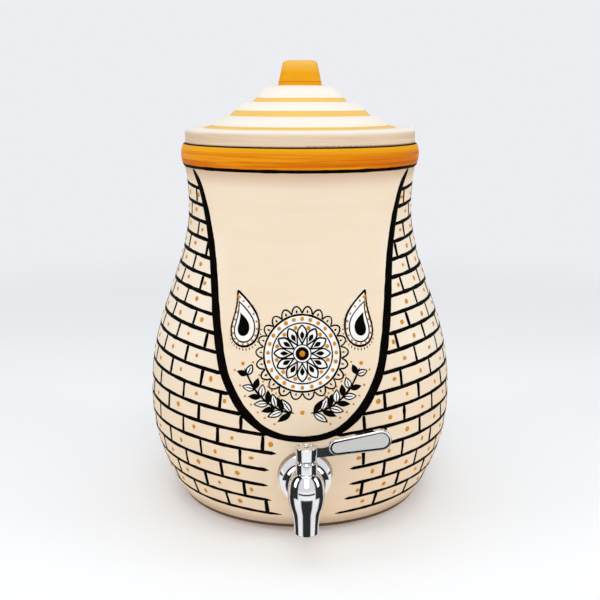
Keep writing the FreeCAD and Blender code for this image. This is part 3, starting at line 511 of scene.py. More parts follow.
def end_tree(tree, geometry, given, result):
    """Wraps the painted shapes round the wall, smooths them and gives them their paint."""
    pot = node(tree, "GeometryNodeObjectInfo", Object=given["Pot"]).outputs["Geometry"]
    laid = node(tree, "GeometryNodeGroup", {"node_tree": wrap}, Geometry=geometry, Pot=pot).outputs[0]
    smooth = node(tree, "GeometryNodeSetShadeSmooth", Geometry=laid).outputs[0]
    real = node(tree, "GeometryNodeRealizeInstances", Geometry=smooth).outputs[0]
    painted = node(tree, "GeometryNodeSetMaterial", Geometry=real, Material=given["Paint"]).outputs[0]
    tree.links.new(painted, result.inputs[0])


# A brush stroke: a line given a rounded section as wide as the brush, unsteady in place and in width.
brush_stroke, given, result = new_tree("brush_stroke", PAINT_INPUTS | STROKE_INPUTS)
line = node(brush_stroke, "GeometryNodeMeshToCurve", Mesh=given["Geometry"]).outputs[0]
line = node(brush_stroke, "GeometryNodeResampleCurve", {"mode": "LENGTH"}, Curve=line,
            Length=given["Step"]).outputs[0]
here = node(brush_stroke, "GeometryNodeInputPosition").outputs[0]
shiver = node(brush_stroke, "ShaderNodeTexNoise", Vector=here, Scale=given["Wobble Scale"], Detail=2.0)
shift = vectors(brush_stroke, "SUBTRACT", shiver.outputs["Color"], (0.5, 0.5, 0.5))
shift = vectors(brush_stroke, "MULTIPLY", shift, (2, 2, 0))
line = moved(brush_stroke, line, scaled(brush_stroke, shift, given["Wobble"]))
line = keep_centre(brush_stroke, line)
line = node(brush_stroke, "GeometryNodeSetCurveNormal", {"mode": "Z_UP"}, Curve=line).outputs[0]
pressure = spread(brush_stroke, noise(brush_stroke, here, 85.0, 2.0), 0.3, 0.7, -1.0, 1.0)
pressure = maths(brush_stroke, "MULTIPLY", pressure, given["Pressure"])
half_width = maths(brush_stroke, "MULTIPLY", named(brush_stroke, "half_width"),
                   maths(brush_stroke, "ADD", 1.0, pressure))
arch = node(brush_stroke, "GeometryNodeCurveArc", Resolution=6, Radius=SUNK_EDGE, Start_Angle=math.pi,
            Sweep_Angle=math.pi).outputs[0]
arch = node(brush_stroke, "GeometryNodeSetSplineCyclic", Geometry=arch, Cyclic=True).outputs[0]
flatten = combined(brush_stroke, 1.0, given["Relief"], 1.0)
arch = node(brush_stroke, "GeometryNodeTransform", Geometry=arch, Scale=flatten).outputs[0]
swept = node(brush_stroke, "GeometryNodeCurveToMesh", Curve=line, Profile_Curve=arch, Scale=half_width,
             Fill_Caps=True).outputs[0]
is_top = maths(brush_stroke, "GREATER_THAN", upright(brush_stroke, here), TOUCHING)
rise = maths(brush_stroke, "MULTIPLY", is_top, maths(brush_stroke, "ADD", given["Lift"], PAINT_SINK))
rise = maths(brush_stroke, "SUBTRACT", rise, PAINT_SINK)
end_tree(brush_stroke, moved(brush_stroke, swept, combined(brush_stroke, z=rise)), given, result)

# A raised dot: a drop of thick colour squeezed onto each point, no two quite alike.
raised_dot, given, result = new_tree("raised_dot", PAINT_INPUTS | {"Relief": FLOAT, "Unlike": FLOAT})
points = keep_centre(raised_dot, given["Geometry"])
drop = node(raised_dot, "GeometryNodeMeshUVSphere", Segments=10, Rings=6, Radius=1.0).outputs[0]
least = maths(raised_dot, "SUBTRACT", 1.0, given["Unlike"])
most = maths(raised_dot, "ADD", 1.0, given["Unlike"])
size = node(raised_dot, "FunctionNodeRandomValue", {"data_type": "FLOAT_VECTOR"},
            _0=combined(raised_dot, least, least, 1.0), _1=combined(raised_dot, most, most, 1.0),
            Seed=SEED).outputs[0]
size = scaled(raised_dot, size, named(raised_dot, "half_width"))
size = vectors(raised_dot, "MULTIPLY", size, combined(raised_dot, 1.0, 1.0, given["Relief"]))
drops = node(raised_dot, "GeometryNodeInstanceOnPoints", Points=points, Instance=drop, Scale=size).outputs[0]
drops = node(raised_dot, "GeometryNodeRealizeInstances", Geometry=drops).outputs[0]
end_tree(raised_dot, moved(raised_dot, drops, combined(raised_dot, z=given["Lift"])), given, result)

# A filled patch: a flat shape of colour, cut fine enough to bend with the wall, with a thin edge.
paint_patch, given, result = new_tree("paint_patch", PAINT_INPUTS | {"Cuts": "NodeSocketInt"})
cut = node(paint_patch, "GeometryNodeTriangulate", Mesh=given["Geometry"]).outputs[0]
cut = node(paint_patch, "GeometryNodeSubdivideMesh", Mesh=cut, Level=given["Cuts"]).outputs[0]
cut = keep_centre(paint_patch, cut)
thick = maths(paint_patch, "ADD", given["Lift"], PAINT_SINK)
raised = node(paint_patch, "GeometryNodeExtrudeMesh", Mesh=cut, Offset=(0, 0, 1), Offset_Scale=thick,
              Individual=False).outputs[0]
under = node(paint_patch, "GeometryNodeFlipFaces", Mesh=cut).outputs[0]
joined = paint_patch.nodes.new("GeometryNodeJoinGeometry")
paint_patch.links.new(under, joined.inputs[0])
paint_patch.links.new(raised, joined.inputs[0])
closed = node(paint_patch, "GeometryNodeMergeByDistance", Geometry=joined.outputs[0],
              Distance=TOUCHING).outputs[0]
end_tree(paint_patch, moved(paint_patch, closed, (0, 0, -PAINT_SINK)), given, result)


def paint_material(name, thick, thin, roughness, gloss):
    """Paint that has dried thick and thin between its brush marks, over the clay's own grain."""
    material, tree = new_material(name)
    vector = object_coordinates(tree)
    streaks = use_group(tree, brush_streaks, Vector=vector, Fineness=700.0, Stretch=160.0)
    grain = use_group(tree, clay_grain, Vector=vector, Cloud_Scale=120.0)
    colour = mixed_colour(tree, maths(tree, "MULTIPLY", streaks["Mask"], grain["Cloud"]), thick, thin)
    rough = spread(tree, streaks["Mask"], 0.0, 1.0, roughness - 0.06, roughness + 0.08)
    relief = maths(tree, "ADD", streaks["Height"], maths(tree, "MULTIPLY", grain["Height"], 0.4))
    end_material(tree, colour, rough, relief, PAINT_RELIEF, gloss)
    return material


black_paint = paint_material("black_paint", *BLACKS, roughness=0.5, gloss=0.01)
white_paint = paint_material("white_paint", *WHITES, roughness=0.55, gloss=0.1)
gold_paint = paint_material("gold_paint", *GOLDS, roughness=0.34, gloss=0.12)


class Drawing:
    """A flat drawing of lines, points and filled shapes, in millimetres right and up on the sheet."""

    def __init__(self):
        self.places = []
        self.halves = []
        self.edges = []
        self.faces = []

    def add(self, point, width):
        """A point, and half the width of the paint there."""
        self.places.append((point[0] * MM, point[1] * MM, 0))
        self.halves.append(width / 2 * MM)
        return len(self.places) - 1

    def dot(self, point, width):
        """A single drop."""
        self.add(point, width)

    def line(self, points, width, tip=1.0):
        """A stroke whose two ends narrow over the length of its tip."""
        run = [0.0]
        for before, after in zip(points, points[1:]):
            run.append(run[-1] + math.dist(before, after))
        first = None
        for point, far in zip(*resampled(points, run, tip)):
            ease = min(1.0, max(0.0, min(far, run[-1] - far) / tip)) if tip else 1.0
            share = NARROWEST + (1 - NARROWEST) * math.sqrt(ease * (2 - ease))
            made = self.add(point, width * share)
            if first is not None:
                self.edges.append((first, made))
            first = made

    def loop(self, points, width):
        """A closed line."""
        made = [self.add(point, width) for point in points]
        self.edges += list(zip(made, made[1:] + made[:1]))

    def fill(self, points):
        """A filled shape, its corners given anticlockwise."""
        self.faces.append([self.add(point, 0) for point in points])


def resampled(points, run, tip):
    """The stroke's points with more of them along its two tips, and how far along each one is."""
    extra = [tip * share for share in TIP_STOPS] if tip else []
    stops = sorted({*run, *extra, *[run[-1] - stop for stop in extra]})
    stops = [stop for stop in stops if 0 <= stop <= run[-1]]
    placed = []
    for stop in stops:
        leg = max(k for k in range(len(run) - 1) if run[k] <= stop)
        share = (stop - run[leg]) / (run[leg + 1] - run[leg])
        placed.append(tuple(a + (b - a) * share for a, b in zip(points[leg], points[leg + 1])))
    return placed, stops


def paint_on(name, drawing, tree, paint, **inputs):
    """Runs a tree over a drawing and leaves a plain mesh on the pot, as one piece of its paint."""
    mesh = bpy.data.meshes.new(name + "_drawing")
    mesh.from_pydata(drawing.places, drawing.edges, drawing.faces)
    mesh.attributes.new("half_width", "FLOAT", "POINT").data.foreach_set("value", drawing.halves)
    sketch = add_object(name + "_drawing", mesh)
    growth = sketch.modifiers.new(name, "NODES")
    growth.node_group = tree
    values = {"Pot": nodes["pot_body"], "Paint": paint} | inputs
    for item in tree.interface.items_tree:
        label = item.name.replace(" ", "_")
        if item.in_out == "INPUT" and label in values:
            growth[item.identifier] = values[label]
    sketch.update_tag()
    bpy.context.view_layer.update()
    graph = bpy.context.evaluated_depsgraph_get()
    grown = bpy.data.meshes.new_from_object(sketch.evaluated_get(graph))
    sketch.modifiers.remove(growth)
    bpy.data.objects.remove(sketch)
    grown.name = name
    piece = add_object(name, grown)
    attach(piece, "root")


# ---------------------------------------------------------------------------------------------
# Panel line: a broad black line that hangs from the rim in a U and frames the pot's bare front,
# thinner round its bottom, and a narrower one right round the pot under the golden band.
# ---------------------------------------------------------------------------------------------
PANEL_TURN = -1.0
PANEL_SIDE = (
    (62.9, 272.6), (58.2, 262.5), (55.0, 250), (50.0, 230), (43.75, 205), (38.2, 180), (33.4, 156),
    (28.9, 132), (25.6, 119.5), (21.5, 107), (17.2, 97.8), (12.4, 90.9), (6.3, 86.7), (0, 85.4),
)
PANEL_WIDTH = 7.0
PANEL_TIP = 24.0
PANEL_LOW_SHARE = 0.66
PANEL_LOW_RISE = 14.0
BAND_LINE_HEIGHT = 274.1
BAND_LINE_WIDTH = 2.5


def on_sheet(angle, height):
    """The sheet's point at an angle in degrees round the pot and a height in millimetres."""
    return (math.radians(angle) * SHEET_RADIUS / MM, height)


def smooth_path(points, steps=8):
    """A curve through the points, rounded at each of them."""
    path = []
    padded = [points[0], *points, points[-1]]
    for a, b, c, d in zip(padded, padded[1:], padded[2:], padded[3:]):
        for k in range(steps):
            t = k / steps
            path.append(tuple(
                0.5 * (2 * q + (r - p) * t + (2 * p - 5 * q + 4 * r - s) * t ** 2
                       + (3 * q - p - 3 * r + s) * t ** 3)
                for p, q, r, s in zip(a, b, c, d)
            ))
    return [*path, points[-1]]


half_panel = smooth_path(PANEL_SIDE)
left_side = [on_sheet(PANEL_TURN - angle, height) for angle, height in half_panel]
right_side = [on_sheet(PANEL_TURN + angle, height) for angle, height in reversed(half_panel[:-1])]
panel = Drawing()
panel.line(left_side + right_side, PANEL_WIDTH, PANEL_TIP)
rises = [(place[1] / MM - PANEL_SIDE[-1][1]) / PANEL_LOW_RISE for place in panel.places]
panel.halves = [
    half * (PANEL_LOW_SHARE + (1 - PANEL_LOW_SHARE) * min(1, rise))
    for half, rise in zip(panel.halves, rises)
]
paint_on("panel_line", panel, brush_stroke, black_paint, Lift=0.10 * MM, Step=2.0 * MM, Relief=0.08,
         Wobble=0.25 * MM, Wobble_Scale=20.0, Pressure=0.05)

band_line = Drawing()
band_line.line([on_sheet(angle, BAND_LINE_HEIGHT) for angle in range(-181, 182)], BAND_LINE_WIDTH, 0)
paint_on("band_line", band_line, brush_stroke, black_paint, Lift=0.10 * MM, Step=2.4 * MM, Relief=0.10,
         Wobble=0.20 * MM, Wobble_Scale=40.0, Pressure=0.14)


# ---------------------------------------------------------------------------------------------
# Brickwork: courses of bricks drawn in black round the whole pot outside the panel, each course
# stepped half a brick from the next, with one raised golden dot to a brick and a gap for the tap.
# ---------------------------------------------------------------------------------------------
COURSE_LINES = 19
TOP_COURSE_LINE = 260.6
NECK_COURSE = 12.8
BELLY_COURSE = 13.8
BELLY_FROM = 9
COURSE_DROOP = 2.8
DROOP_RUN = 40.0
COURSE_TILT = 0.8
COURSE_STEP = 4.0
COURSE_TIP = 2.2
LOWEST_TIP = 14.0
END_UNEVEN = 0.4
LINE_WIDTH = 2.8
JOINT_WIDTH = 2.8
JOINT_WIDTH_SHARES = (0.85, 1.12)
JOINT_TIP = 0.6
JOINT_SHORT = 0.6
JOINT_UNEVEN = 0.5
JOINT_LEAN = 0.7
TAP_GAP_TURN = 1.4
TAP_GAP_HALF = 14.8
TAP_GAP_MIDDLE = 50.0
TAP_GAP_TALL = 42.0
FIRST_JOINT = 46.7
FIRST_JOINT_SHIFT = 0.8
SHIFT_ABOVE = 7
BRICK_TOP = 19.0
BRICK_NARROWING = 0.16
JOINT_CLEAR = 1.6
BACK_CLEAR_SHARE = 0.4
BACK_JOINT_SHARE = 0.7
DOT_WIDTH = 3.5
DOT_ASIDE = 2.3
DOT_ASIDE_SHARE = 0.16
DOT_UNEVEN_ASIDE = 0.7
DOT_UNEVEN_UP = 0.9
DOT_NEEDS = 5.0
MISSED_DOTS = 0.06

chance = random.Random(SEED)
course_heights = [
    TOP_COURSE_LINE - NECK_COURSE * min(k, BELLY_FROM) - BELLY_COURSE * max(0, k - BELLY_FROM)
    for k in range(COURSE_LINES)
]


def open_half(height):
    """How far the bare front reaches to each side at a height: the middle and the half, in degrees."""
    for (outer, high), (inner, low) in zip(half_panel, half_panel[1:]):
        if low <= height <= high:
            return PANEL_TURN, outer + (inner - outer) * (high - height) / (high - low)
    level = max(0.0, 1 - ((height - TAP_GAP_MIDDLE) / TAP_GAP_TALL) ** 2)
    return TAP_GAP_TURN, TAP_GAP_HALF * math.sqrt(level)


def course_point(angle, height):
    """A point of a course, which droops towards the bare front and stands lower on the pot's right."""
    middle, half = open_half(height)
    away = max(0.0, abs((angle - middle + 180) % 360 - 180) - half)
    droop = COURSE_DROOP * max(0.0, 1 - away / DROOP_RUN) ** 2
    return on_sheet(angle, height - droop - COURSE_TILT * math.sin(math.radians(angle)))


def joint_ends(angle, lean, top, bottom):
    """A joint's ends, each just short of the middle of the course line that it meets."""
    return [course_point(angle, top - JOINT_SHORT), course_point(angle + lean, bottom + JOINT_SHORT)]


courses = Drawing()
for number, height in enumerate(course_heights):
    turn, half = open_half(height)
    tip = LOWEST_TIP if number == COURSE_LINES - 1 else COURSE_TIP
    start = turn + half + chance.uniform(-END_UNEVEN, END_UNEVEN)
    end = 360 + turn - half + chance.uniform(-END_UNEVEN, END_UNEVEN)
    count = round((end - start) / COURSE_STEP)
    path = [course_point(start + (end - start) * k / count, height) for k in range(count + 1)]
    courses.line(path, LINE_WIDTH, tip)
paint_on("course_lines", courses, brush_stroke, black_paint, Lift=0.08 * MM, Step=3.0 * MM, Relief=0.12,
         Wobble=0.9 * MM, Wobble_Scale=16.0, Pressure=0.16)

joints = Drawing()
dots = Drawing()
for number, (top, bottom) in enumerate(zip(course_heights, course_heights[1:])):
    middle = (top + bottom) / 2
    turn, half = open_half(middle)
    brick = BRICK_TOP - BRICK_NARROWING * number
    first = FIRST_JOINT + FIRST_JOINT_SHIFT * max(0, SHIFT_ABOVE - number)
    first += 0.0 if number % 2 else brick / 2
    offsets = [first + brick * k for k in range(-4, 12)]
    for side in (-1, 1):
        edge = half + side * (turn - PANEL_TURN)
        walls = [edge]
        for offset in offsets:
            if edge + JOINT_CLEAR < offset < 180 - brick * BACK_CLEAR_SHARE:
                angle = offset + chance.uniform(-JOINT_UNEVEN, JOINT_UNEVEN)
                walls.append(angle)
                lean = side * chance.uniform(0.0, JOINT_LEAN)
                ends = joint_ends(PANEL_TURN + side * angle, lean, top, bottom)
                joints.line(ends, JOINT_WIDTH * chance.uniform(*JOINT_WIDTH_SHARES), JOINT_TIP)
        walls.append(180.0)
        for near, far in zip(walls, walls[1:]):
            if far - near < DOT_NEEDS or chance.random() < MISSED_DOTS:
                continue
            aside = min(DOT_ASIDE, (far - near) * DOT_ASIDE_SHARE)
            aside += chance.uniform(-DOT_UNEVEN_ASIDE, DOT_UNEVEN_ASIDE)
            height = middle + chance.uniform(-DOT_UNEVEN_UP, DOT_UNEVEN_UP)
            dots.dot(course_point(PANEL_TURN + side * ((near + far) / 2 + aside), height), DOT_WIDTH)
    if 180 - walls[-2] > brick * BACK_JOINT_SHARE:
        joints.line(joint_ends(180, 0, top, bottom), JOINT_WIDTH, JOINT_TIP)
paint_on("brick_joints", joints, brush_stroke, black_paint, Lift=0.08 * MM, Step=1.2 * MM, Relief=0.12,
         Wobble=0.35 * MM, Wobble_Scale=60.0, Pressure=0.16)
paint_on("brick_dots", dots, raised_dot, gold_paint, Lift=0.0, Relief=0.36, Unlike=0.24)


# ---------------------------------------------------------------------------------------------
# Painted motif: a flower medallion between two paisleys, over two leafy sprigs, low in the bare
# panel. It is laid in with white, drawn and filled in black, and set with raised golden beads.
# ---------------------------------------------------------------------------------------------
PANEL_MIDDLE = on_sheet(PANEL_TURN, 0)[0]
MEDALLION = (PANEL_MIDDLE, 147.0)
MEDALLION_RADIUS = 26.5
INNER_RING = 20.8
PETALS = 12
PETAL_BASE = 6.2
PETAL_TIP = 19.6
PETAL_WIDTH = 6.6
PETAL_BELLY = 0.6
CORE_WIDTH = 0.46 * PETAL_WIDTH
CORE_UP = 2.6
CORE_DOWN = 4.4
EYE_RADIUS = 4.6
EYE_RING = 1.5
EYE_BEAD = 4.2
BEAD_DOWN = 1.6
LOBES = 22
LOBE_RISE = 5.2
LOBE_CLEAR = 0.6
LOBE_STEPS = 8
TICK = (1.0, 3.4)
TICK_WIDTH = 1.3
PAISLEY_ASIDE = 45.0
PAISLEY_HEIGHT = 169.0
PAISLEY_TALL = 38.0
PAISLEY_BROAD = 22.0
PAISLEY_CURL = 8.5
FRINGE = (1.06, 1.17)
FRINGE_REACH = 13
FRINGE_WIDTH = 0.9
SPRIG = ((5.0, 105.0), (12.5, 106.5), (22.0, 111.5), (31.5, 121.0), (39.5, 135.0))
SPRIG_LEAVES = 7
LEAF_LONG = 11.5
LEAF_SHRINK = 0.05
LEAF_BROAD = 4.4
LEAF_SPREAD = 48
LEAF_VEIN = 0.75
LEAF_BEAD = 1.22
BROAD_PEN = 1.5
PEN = 1.15
THIN_PEN = 1.0
FINE_PEN = 0.8
BEAD = 2.9
SMALL_BEAD = 1.8
TINY_BEAD = 1.7


def around(middle, radius, turn):
    """The point at a radius and a turn in degrees from straight up, clockwise."""
    return (middle[0] + radius * math.sin(math.radians(turn)),
            middle[1] + radius * math.cos(math.radians(turn)))


def ring_points(middle, radius, count=48):
    """Points evenly round a circle, anticlockwise."""
    return [around(middle, radius, -360 * k / count) for k in range(count)]


def leaf_points(base, tip, broad, belly=0.45, count=9):
    """A leaf's outline, pointed at both ends and broadest at its belly, anticlockwise."""
    long = math.dist(base, tip)
    along = ((tip[0] - base[0]) / long, (tip[1] - base[1]) / long)
    sides = []
    for side in (-1, 1):
        row = []
        for k in range(count + 1):
            t = k / count
            wide = side * broad / 2 * math.sin(math.pi * t ** (math.log(0.5) / math.log(belly)))
            row.append((base[0] + along[0] * long * t - along[1] * wide,
                        base[1] + along[1] * long * t + along[0] * wide))
        sides.append(row)
    return sides[0] + sides[1][-2:0:-1]


def paisley_points(middle, side, share=1.0, count=28):
    """A paisley's outline: a drop whose tip curls outwards, drawn at a share of its full size."""
    points = []
    for k in range(count):
        turn = math.tau * k / count
        up = -math.cos(turn)
        wide = PAISLEY_BROAD / 2 * math.sin(turn) * math.sqrt((1 - up) / 2) * 1.3
        curl = PAISLEY_CURL * max(0.0, up + 0.1) ** 2
        points.append((middle[0] + share * (wide + side * (curl - PAISLEY_CURL * 0.3)),
                       middle[1] + share * PAISLEY_TALL / 2 * up))
    return points


grounds, blacks, pen_lines, fine_lines, beads = (Drawing() for _ in range(5))

# The medallion: petals with black cores round a beaded eye, two rings of beads, and a lobed edge.
grounds.fill(ring_points(MEDALLION, MEDALLION_RADIUS, 40))
blacks.fill(ring_points(MEDALLION, EYE_RADIUS, 24))
pen_lines.loop(ring_points(MEDALLION, MEDALLION_RADIUS), BROAD_PEN)
fine_lines.loop(ring_points(MEDALLION, INNER_RING), THIN_PEN)
fine_lines.loop(ring_points(MEDALLION, EYE_RADIUS + EYE_RING, 28), FINE_PEN)
beads.dot(MEDALLION, EYE_BEAD)
for k in range(PETALS):
    turn = 360 * k / PETALS
    base, tip = around(MEDALLION, PETAL_BASE, turn), around(MEDALLION, PETAL_TIP, turn)
    pen_lines.loop(leaf_points(base, tip, PETAL_WIDTH, PETAL_BELLY), PEN)
    base, tip = (around(MEDALLION, reach, turn) for reach in (PETAL_BASE + CORE_UP, PETAL_TIP - CORE_DOWN))
    blacks.fill(leaf_points(base, tip, CORE_WIDTH, PETAL_BELLY))
    beads.dot(around(MEDALLION, PETAL_TIP - BEAD_DOWN, turn + 180 / PETALS), BEAD)
for turn in (180 * k / PETALS for k in range(2 * PETALS)):
    beads.dot(around(MEDALLION, (MEDALLION_RADIUS + INNER_RING) / 2, turn), BEAD)
for k in range(LOBES):
    arch = []
    for j in range(LOBE_STEPS + 1):
        rise = LOBE_CLEAR + LOBE_RISE * math.sin(math.pi * j / LOBE_STEPS) ** 0.7
        arch.append(around(MEDALLION, MEDALLION_RADIUS + rise, 360 * (k + j / LOBE_STEPS) / LOBES))
    pen_lines.line(arch, PEN, tip=0.5)
    tick = [around(MEDALLION, MEDALLION_RADIUS + reach, 360 * (k + 0.5) / LOBES) for reach in TICK]
    fine_lines.line(tick, TICK_WIDTH, tip=0.8)

# To each side a paisley with a fringe of short strokes, and under it a sprig with leaves in pairs.
for side in (-1, 1):
    heart = (PANEL_MIDDLE + side * PAISLEY_ASIDE, PAISLEY_HEIGHT)
    low_heart = (heart[0] - side * 0.4, heart[1] - 2.4)
    grounds.fill(paisley_points(heart, side))
    pen_lines.loop(paisley_points(heart, side), BROAD_PEN)
    fine_lines.loop(paisley_points(low_heart, side, 0.72), THIN_PEN)
    blacks.fill(paisley_points((low_heart[0], low_heart[1] - 1.6), side, 0.42))
    for place in paisley_points((heart[0] - side * 0.2, heart[1] - 1.2), side, 0.86, 20):
        beads.dot(place, SMALL_BEAD)
    inner, outer = (paisley_points(heart, side, share, 40) for share in FRINGE)
    for k in range(-FRINGE_REACH, FRINGE_REACH + 1):
        fine_lines.line([inner[k], outer[k]], FRINGE_WIDTH, tip=0.5)

    stem = smooth_path([(PANEL_MIDDLE + side * across, up) for across, up in SPRIG])
    pen_lines.line(stem, BROAD_PEN, tip=6.0)
    for k in range(SPRIG_LEAVES):
        spot = round((k + 0.8) / (SPRIG_LEAVES + 0.6) * (len(stem) - 1))
        base, beyond = stem[spot], stem[min(spot + 2, len(stem) - 1)]
        lie = math.atan2(beyond[1] - base[1], beyond[0] - base[0])
        for lift in (-1, 1):
            out = lie + lift * math.radians(LEAF_SPREAD)
            long = LEAF_LONG * (1 - LEAF_SHRINK * k)
            reach = (long * math.cos(out), long * math.sin(out))
            tip, vein_end, bead = (
                (base[0] + share * reach[0], base[1] + share * reach[1])
                for share in (1, LEAF_VEIN, LEAF_BEAD)
            )
            leaf = leaf_points(base, tip, LEAF_BROAD)
            if (k + (lift > 0)) % 2:
                blacks.fill(leaf)
            else:
                grounds.fill(leaf)
                fine_lines.line([base, vein_end], FINE_PEN, tip=1.5)
                pen_lines.loop(leaf, THIN_PEN)
            beads.dot(bead, TINY_BEAD)
    beads.dot((stem[-1][0] + side * 1.5, stem[-1][1] + 3.2), BEAD)
beads.dot((PANEL_MIDDLE, SPRIG[0][1] + 0.5), 3.0)

paint_on("motif_grounds", grounds, paint_patch, white_paint, Lift=0.06 * MM, Cuts=3)
paint_on("motif_blacks", blacks, paint_patch, black_paint, Lift=0.10 * MM, Cuts=2)
paint_on("motif_lines", pen_lines, brush_stroke, black_paint, Lift=0.12 * MM, Step=1.0 * MM, Relief=0.12,
         Wobble=0.15 * MM, Wobble_Scale=90.0, Pressure=0.16)
paint_on("motif_fine_lines", fine_lines, brush_stroke, black_paint, Lift=0.12 * MM, Step=0.8 * MM,
         Relief=0.12, Wobble=0.12 * MM, Wobble_Scale=120.0, Pressure=0.16)
paint_on("motif_beads", beads, raised_dot, gold_paint, Lift=0.05 * MM, Relief=0.55, Unlike=0.10)


# ---------------------------------------------------------------------------------------------
# Lid: thrown clay in three swelling tiers under a knob. It is brushed with the same cream slip, painted
# paler on the tiers as light and darker on the rim's side as shade, and the slanted steps between its
# tiers and the whole knob are golden yellow, with a painted highlight at the knob's top. Its underside is
# bare.
# ---------------------------------------------------------------------------------------------
LID_TOP_LIGHT_CREAM = (0.94, 0.915, 0.855, 1)
LID_TOP_LIGHT_SHARE = 0.8
LID_EDGE_SHADE_CREAM = (0.66, 0.485, 0.335, 1)
LID_EDGE_SHADE_SHARES = (0.45, 0.95)
LID_RELIEF = 0.10 * MM
STEP_GOLD = (0.88, 0.57, 0.155, 1)
LID_FOOT = 290.5 * MM
LID_LINE_TOP = 291.0 * MM
LEDGE = (298.4 * MM, 302.4 * MM)
GOLD_STEPS = ((70.3, 77.2), (51.6, 56.4), (34.9, 38.0))
KNOB_FOOT = 334.0 * MM
KNOB_GOLD_RADIUS = 20.4 * MM
KNOB_BRIGHT_SHARE = 0.72
KNOB_TOP_HIGHLIGHT = (344 * MM, 353 * MM)
KNOB_TOP_HIGHLIGHT_SHARE = 0.65
KNOB_LINE = 337.6 * MM
KNOB_LINE_HALF = 0.7 * MM
KNOB_LINE_SHARE = 0.7
UNDERSIDE = -0.35

lid_finish, tree = new_material("slipped_clay_lid")
vector, radius, height, normal = object_place(tree)
hand = maths(tree, "MULTIPLY", maths(tree, "SUBTRACT", noise(tree, vector, 45.0), 0.5), 1.2 * HAND_WOBBLE)
brushed_height = maths(tree, "ADD", height, hand)
brushed_radius = maths(tree, "ADD", radius, hand)
on_gold = maths(tree, "LESS_THAN", brushed_radius, KNOB_GOLD_RADIUS)
for inner, outer in GOLD_STEPS:
    on_step = maths(tree, "MULTIPLY", maths(tree, "GREATER_THAN", brushed_radius, inner * MM),
                    maths(tree, "LESS_THAN", brushed_radius, outer * MM))
    on_gold = maths(tree, "MAXIMUM", on_gold, on_step)
slip_colour, rough, relief = slip(tree, vector, height)
streaks = use_group(tree, brush_streaks, Vector=vector, Fineness=620.0, Stretch=14.0)["Mask"]
# Painted shade on the rim's side, streaked, and painted light on the tiers above the ledge.
edge_shade_share = spread(tree, streaks, 0.0, 1.0, *LID_EDGE_SHADE_SHARES)
shaded_edge_colour = mixed_colour(tree, edge_shade_share, slip_colour, LID_EDGE_SHADE_CREAM)
lit_top_colour = mixed_colour(tree, LID_TOP_LIGHT_SHARE, slip_colour, LID_TOP_LIGHT_CREAM)
colour = mixed_colour(tree, spread(tree, height, *LEDGE), shaded_edge_colour, lit_top_colour)
gold, gold_rough, gold_relief = golden(tree, vector, 420.0, 26.0)
gold = mixed_colour(tree, KNOB_BRIGHT_SHARE, gold, BRIGHT_GOLD)
# Painted highlight: the knob turns paler gold towards its top.
gold = mixed_colour(tree, spread(tree, height, *KNOB_TOP_HIGHLIGHT, 0.0, KNOB_TOP_HIGHLIGHT_SHARE), gold, STEP_GOLD)
gold = mixed_colour(tree, maths(tree, "LESS_THAN", height, KNOB_FOOT), gold, STEP_GOLD)
from_line = maths(tree, "ABSOLUTE", maths(tree, "SUBTRACT", brushed_height, KNOB_LINE))
on_knob_line = spread(tree, from_line, 0.0, KNOB_LINE_HALF, KNOB_LINE_SHARE, 0.0)
gold = mixed_colour(tree, on_knob_line, gold, DARK_GOLD)
bare = maths(tree, "MAXIMUM", maths(tree, "LESS_THAN", upright(tree, normal), UNDERSIDE),
             maths(tree, "LESS_THAN", height, LID_FOOT))
on_edge_line = maths(tree, "MULTIPLY", maths(tree, "LESS_THAN", brushed_height, LID_LINE_TOP),
                     maths(tree, "GREATER_THAN", radius, RIM_EDGE_RADIUS))
colour = mixed_colour(tree, bare, mixed_colour(tree, on_gold, colour, gold), bare_clay(tree, vector))
end_material(
    tree,
    mixed_colour(tree, on_edge_line, colour, BLACK_LINE),
    mixed(tree, bare, mixed(tree, on_gold, rough, gold_rough), BARE_ROUGHNESS),
    mixed(tree, on_gold, relief, gold_relief),
    LID_RELIEF,
    CLAY_GLOSS,
)
dress(lid_finish, "lid")


# ---------------------------------------------------------------------------------------------
# Tap, bonnet, lever and its screw: brass castings, turned, polished and plated with bright chrome.
# The plating shows a few faint wiping marks.
# ---------------------------------------------------------------------------------------------
CHROME = (0.80, 0.80, 0.81, 1)
CHROME_ROUGHNESS = (0.045, 0.13)
CHROME_RELIEF = 0.004 * MM

wiping_marks, given, result = new_group("wiping_marks", {"Vector": None, "Scale": 60.0}, ["Mask"])
smear = node(wiping_marks, "ShaderNodeTexNoise", Vector=given["Vector"], Scale=given["Scale"], Detail=5.0,
             Roughness=0.65, Distortion=1.2).outputs[0]
wiping_marks.links.new(spread(wiping_marks, smear, 0.48, 0.72), result.inputs["Mask"])

chrome_finish, tree = new_material("polished_chrome_plate")
place = object_coordinates(tree)
marks = use_group(tree, wiping_marks, Vector=place)["Mask"]
end_material(tree, CHROME, spread(tree, marks, 0.0, 1.0, *CHROME_ROUGHNESS), noise(tree, place, 420.0, 2.0),
             CHROME_RELIEF, metal=1.0)
dress(chrome_finish, "tap_body", "bonnet", "lever", "handle_screw")


